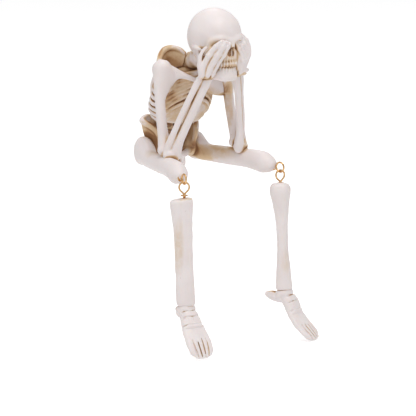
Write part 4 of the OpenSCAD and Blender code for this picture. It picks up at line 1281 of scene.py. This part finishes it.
def add_bone(name, vertices, quads, material, attributes):
    mesh = bpy.data.meshes.new(name)
    mesh.vertices.add(len(vertices))
    mesh.vertices.foreach_set("co", (vertices * 0.001).astype(np.float32).ravel())
    mesh.loops.add(quads.size)
    mesh.loops.foreach_set("vertex_index", quads.astype(np.int32).ravel())
    mesh.polygons.add(len(quads))
    mesh.polygons.foreach_set("loop_start", np.arange(0, quads.size, 4, dtype=np.int32))
    mesh.polygons.foreach_set("use_smooth", np.ones(len(quads), bool))
    mesh.update(calc_edges=True)
    mesh.validate()
    for key, values in attributes.items():
        attribute = mesh.attributes.new(key, "FLOAT", "POINT")
        attribute.data.foreach_set("value", np.asarray(values, np.float32))
    mesh.materials.append(material)
    return link_object(name, mesh)


resin_material, brass_material, steel_material = resin(), brass(), steel()
with ThreadPoolExecutor(4) as pool:
    parts = list(pool.map(build, BONES))
for part, hollow_shade in zip(parts, find_hollows(parts)):
    # the wash attribute holds the groove wash together with painted shade from the hollows and
    # spots
    wash_and_shade = wash_amount(part, hollow_shade)
    bone = add_bone(part.node + "_sculpt", part.vertices, part.quads, resin_material,
                    {"wash_and_shade": wash_and_shade, "edge": part.edge * np.clip(1.2 - wash_and_shade, 0, 1),
                     "stain": stain_amount(part)})
    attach(bone, frame["nodes"][part.node]["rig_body"])
    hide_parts(part.node)
for name, obj in frame["nodes"].items():
    if name.endswith(("_pin", "_eye", "_collar")):
        obj.data.materials.clear()
        obj.data.materials.append(steel_material if name.endswith("_pin") else brass_material)

# ---------- stage, in metres ----------
FLOOR_GAP = 0.0004
FLOOR_HALF = 3
LIGHT_TARGET = (0.0, -0.04, 0.0)


def add_floor():
    low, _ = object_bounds()
    z = min(float(cad_low[2]), float(low[2])) - FLOOR_GAP
    material = pale_floor()
    mesh = bpy.data.meshes.new("floor")
    mesh.from_pydata([(x * FLOOR_HALF, y * FLOOR_HALF, z)
                      for x, y in ((-1, -1), (1, -1), (1, 1), (-1, 1))], [], [(0, 1, 2, 3)])
    mesh.materials.append(material)
    link_object("floor", mesh)


def add_world():
    """White behind the figure, but a dimmer lamp on it."""
    world = bpy.data.worlds.new("soft_studio")
    bpy.context.scene.world = world
    world.use_nodes = True
    tree = world.node_tree
    background = tree.nodes["Background"]
    background.inputs[0].default_value = (1, 1, 1, 1)
    light_path = tree.nodes.new("ShaderNodeLightPath")
    strength = tree.nodes.new("ShaderNodeMapRange")
    strength.inputs["To Min"].default_value = 0.56
    strength.inputs["To Max"].default_value = 1.0
    tree.links.new(light_path.outputs["Is Camera Ray"], strength.inputs["Value"])
    tree.links.new(strength.outputs["Result"], background.inputs[1])


def add_light(name, place, size, power, color=(1, 1, 1), target=LIGHT_TARGET):
    light = bpy.data.lights.new(name, "AREA")
    light.shape = "DISK"
    light.size = size
    light.energy = power
    light.color = color
    obj = link_object(name, light)
    obj.location = place
    obj.rotation_euler = (Vector(target) - Vector(place)).to_track_quat("-Z", "Y").to_euler()


CAMERA_TURN = math.radians(-36.5)
CAMERA_TILT = math.radians(10.5)
CAMERA_DISTANCE = 1.5
CAMERA_TARGET = Vector((0.01672, -0.01732, -0.02444))
FOCAL_LENGTH = 214.5721154   # mm


def add_camera():
    camera = bpy.data.cameras.new("camera")
    camera.sensor_width = 36
    camera.lens = FOCAL_LENGTH
    camera.clip_start = 0.05
    camera.clip_end = 20
    obj = link_object("camera", camera)
    back = Vector((math.sin(CAMERA_TURN) * math.cos(CAMERA_TILT),
                   -math.cos(CAMERA_TURN) * math.cos(CAMERA_TILT), math.sin(CAMERA_TILT)))
    right = Vector((math.cos(CAMERA_TURN), math.sin(CAMERA_TURN), 0))
    up = back.cross(right)
    place = [CAMERA_TARGET[i] + back[i] * CAMERA_DISTANCE for i in range(3)]
    obj.matrix_world = Matrix([(right[i], up[i], back[i], place[i]) for i in range(3)]
                              + [(0, 0, 0, 1)])
    bpy.context.scene.camera = obj


add_floor()
add_world()
add_light("key", (-0.30, -0.72, 1.22), size=0.5, power=4.1, color=(1.0, 0.99, 0.985))
add_light("fill", (-1.1, 0.1, 0.5), size=0.9, power=1.0, color=(0.97, 0.985, 1.0))
add_light("rim", (0.5, 0.8, 1.0), size=0.6, power=1.8)
add_light("top", (-0.08, -0.2, 0.95), size=0.6, power=2.4, target=(0.0, -0.03, 0.05))
add_camera()
bpy.context.scene.view_settings.view_transform = "Standard"
bpy.context.scene.view_settings.look = "None"
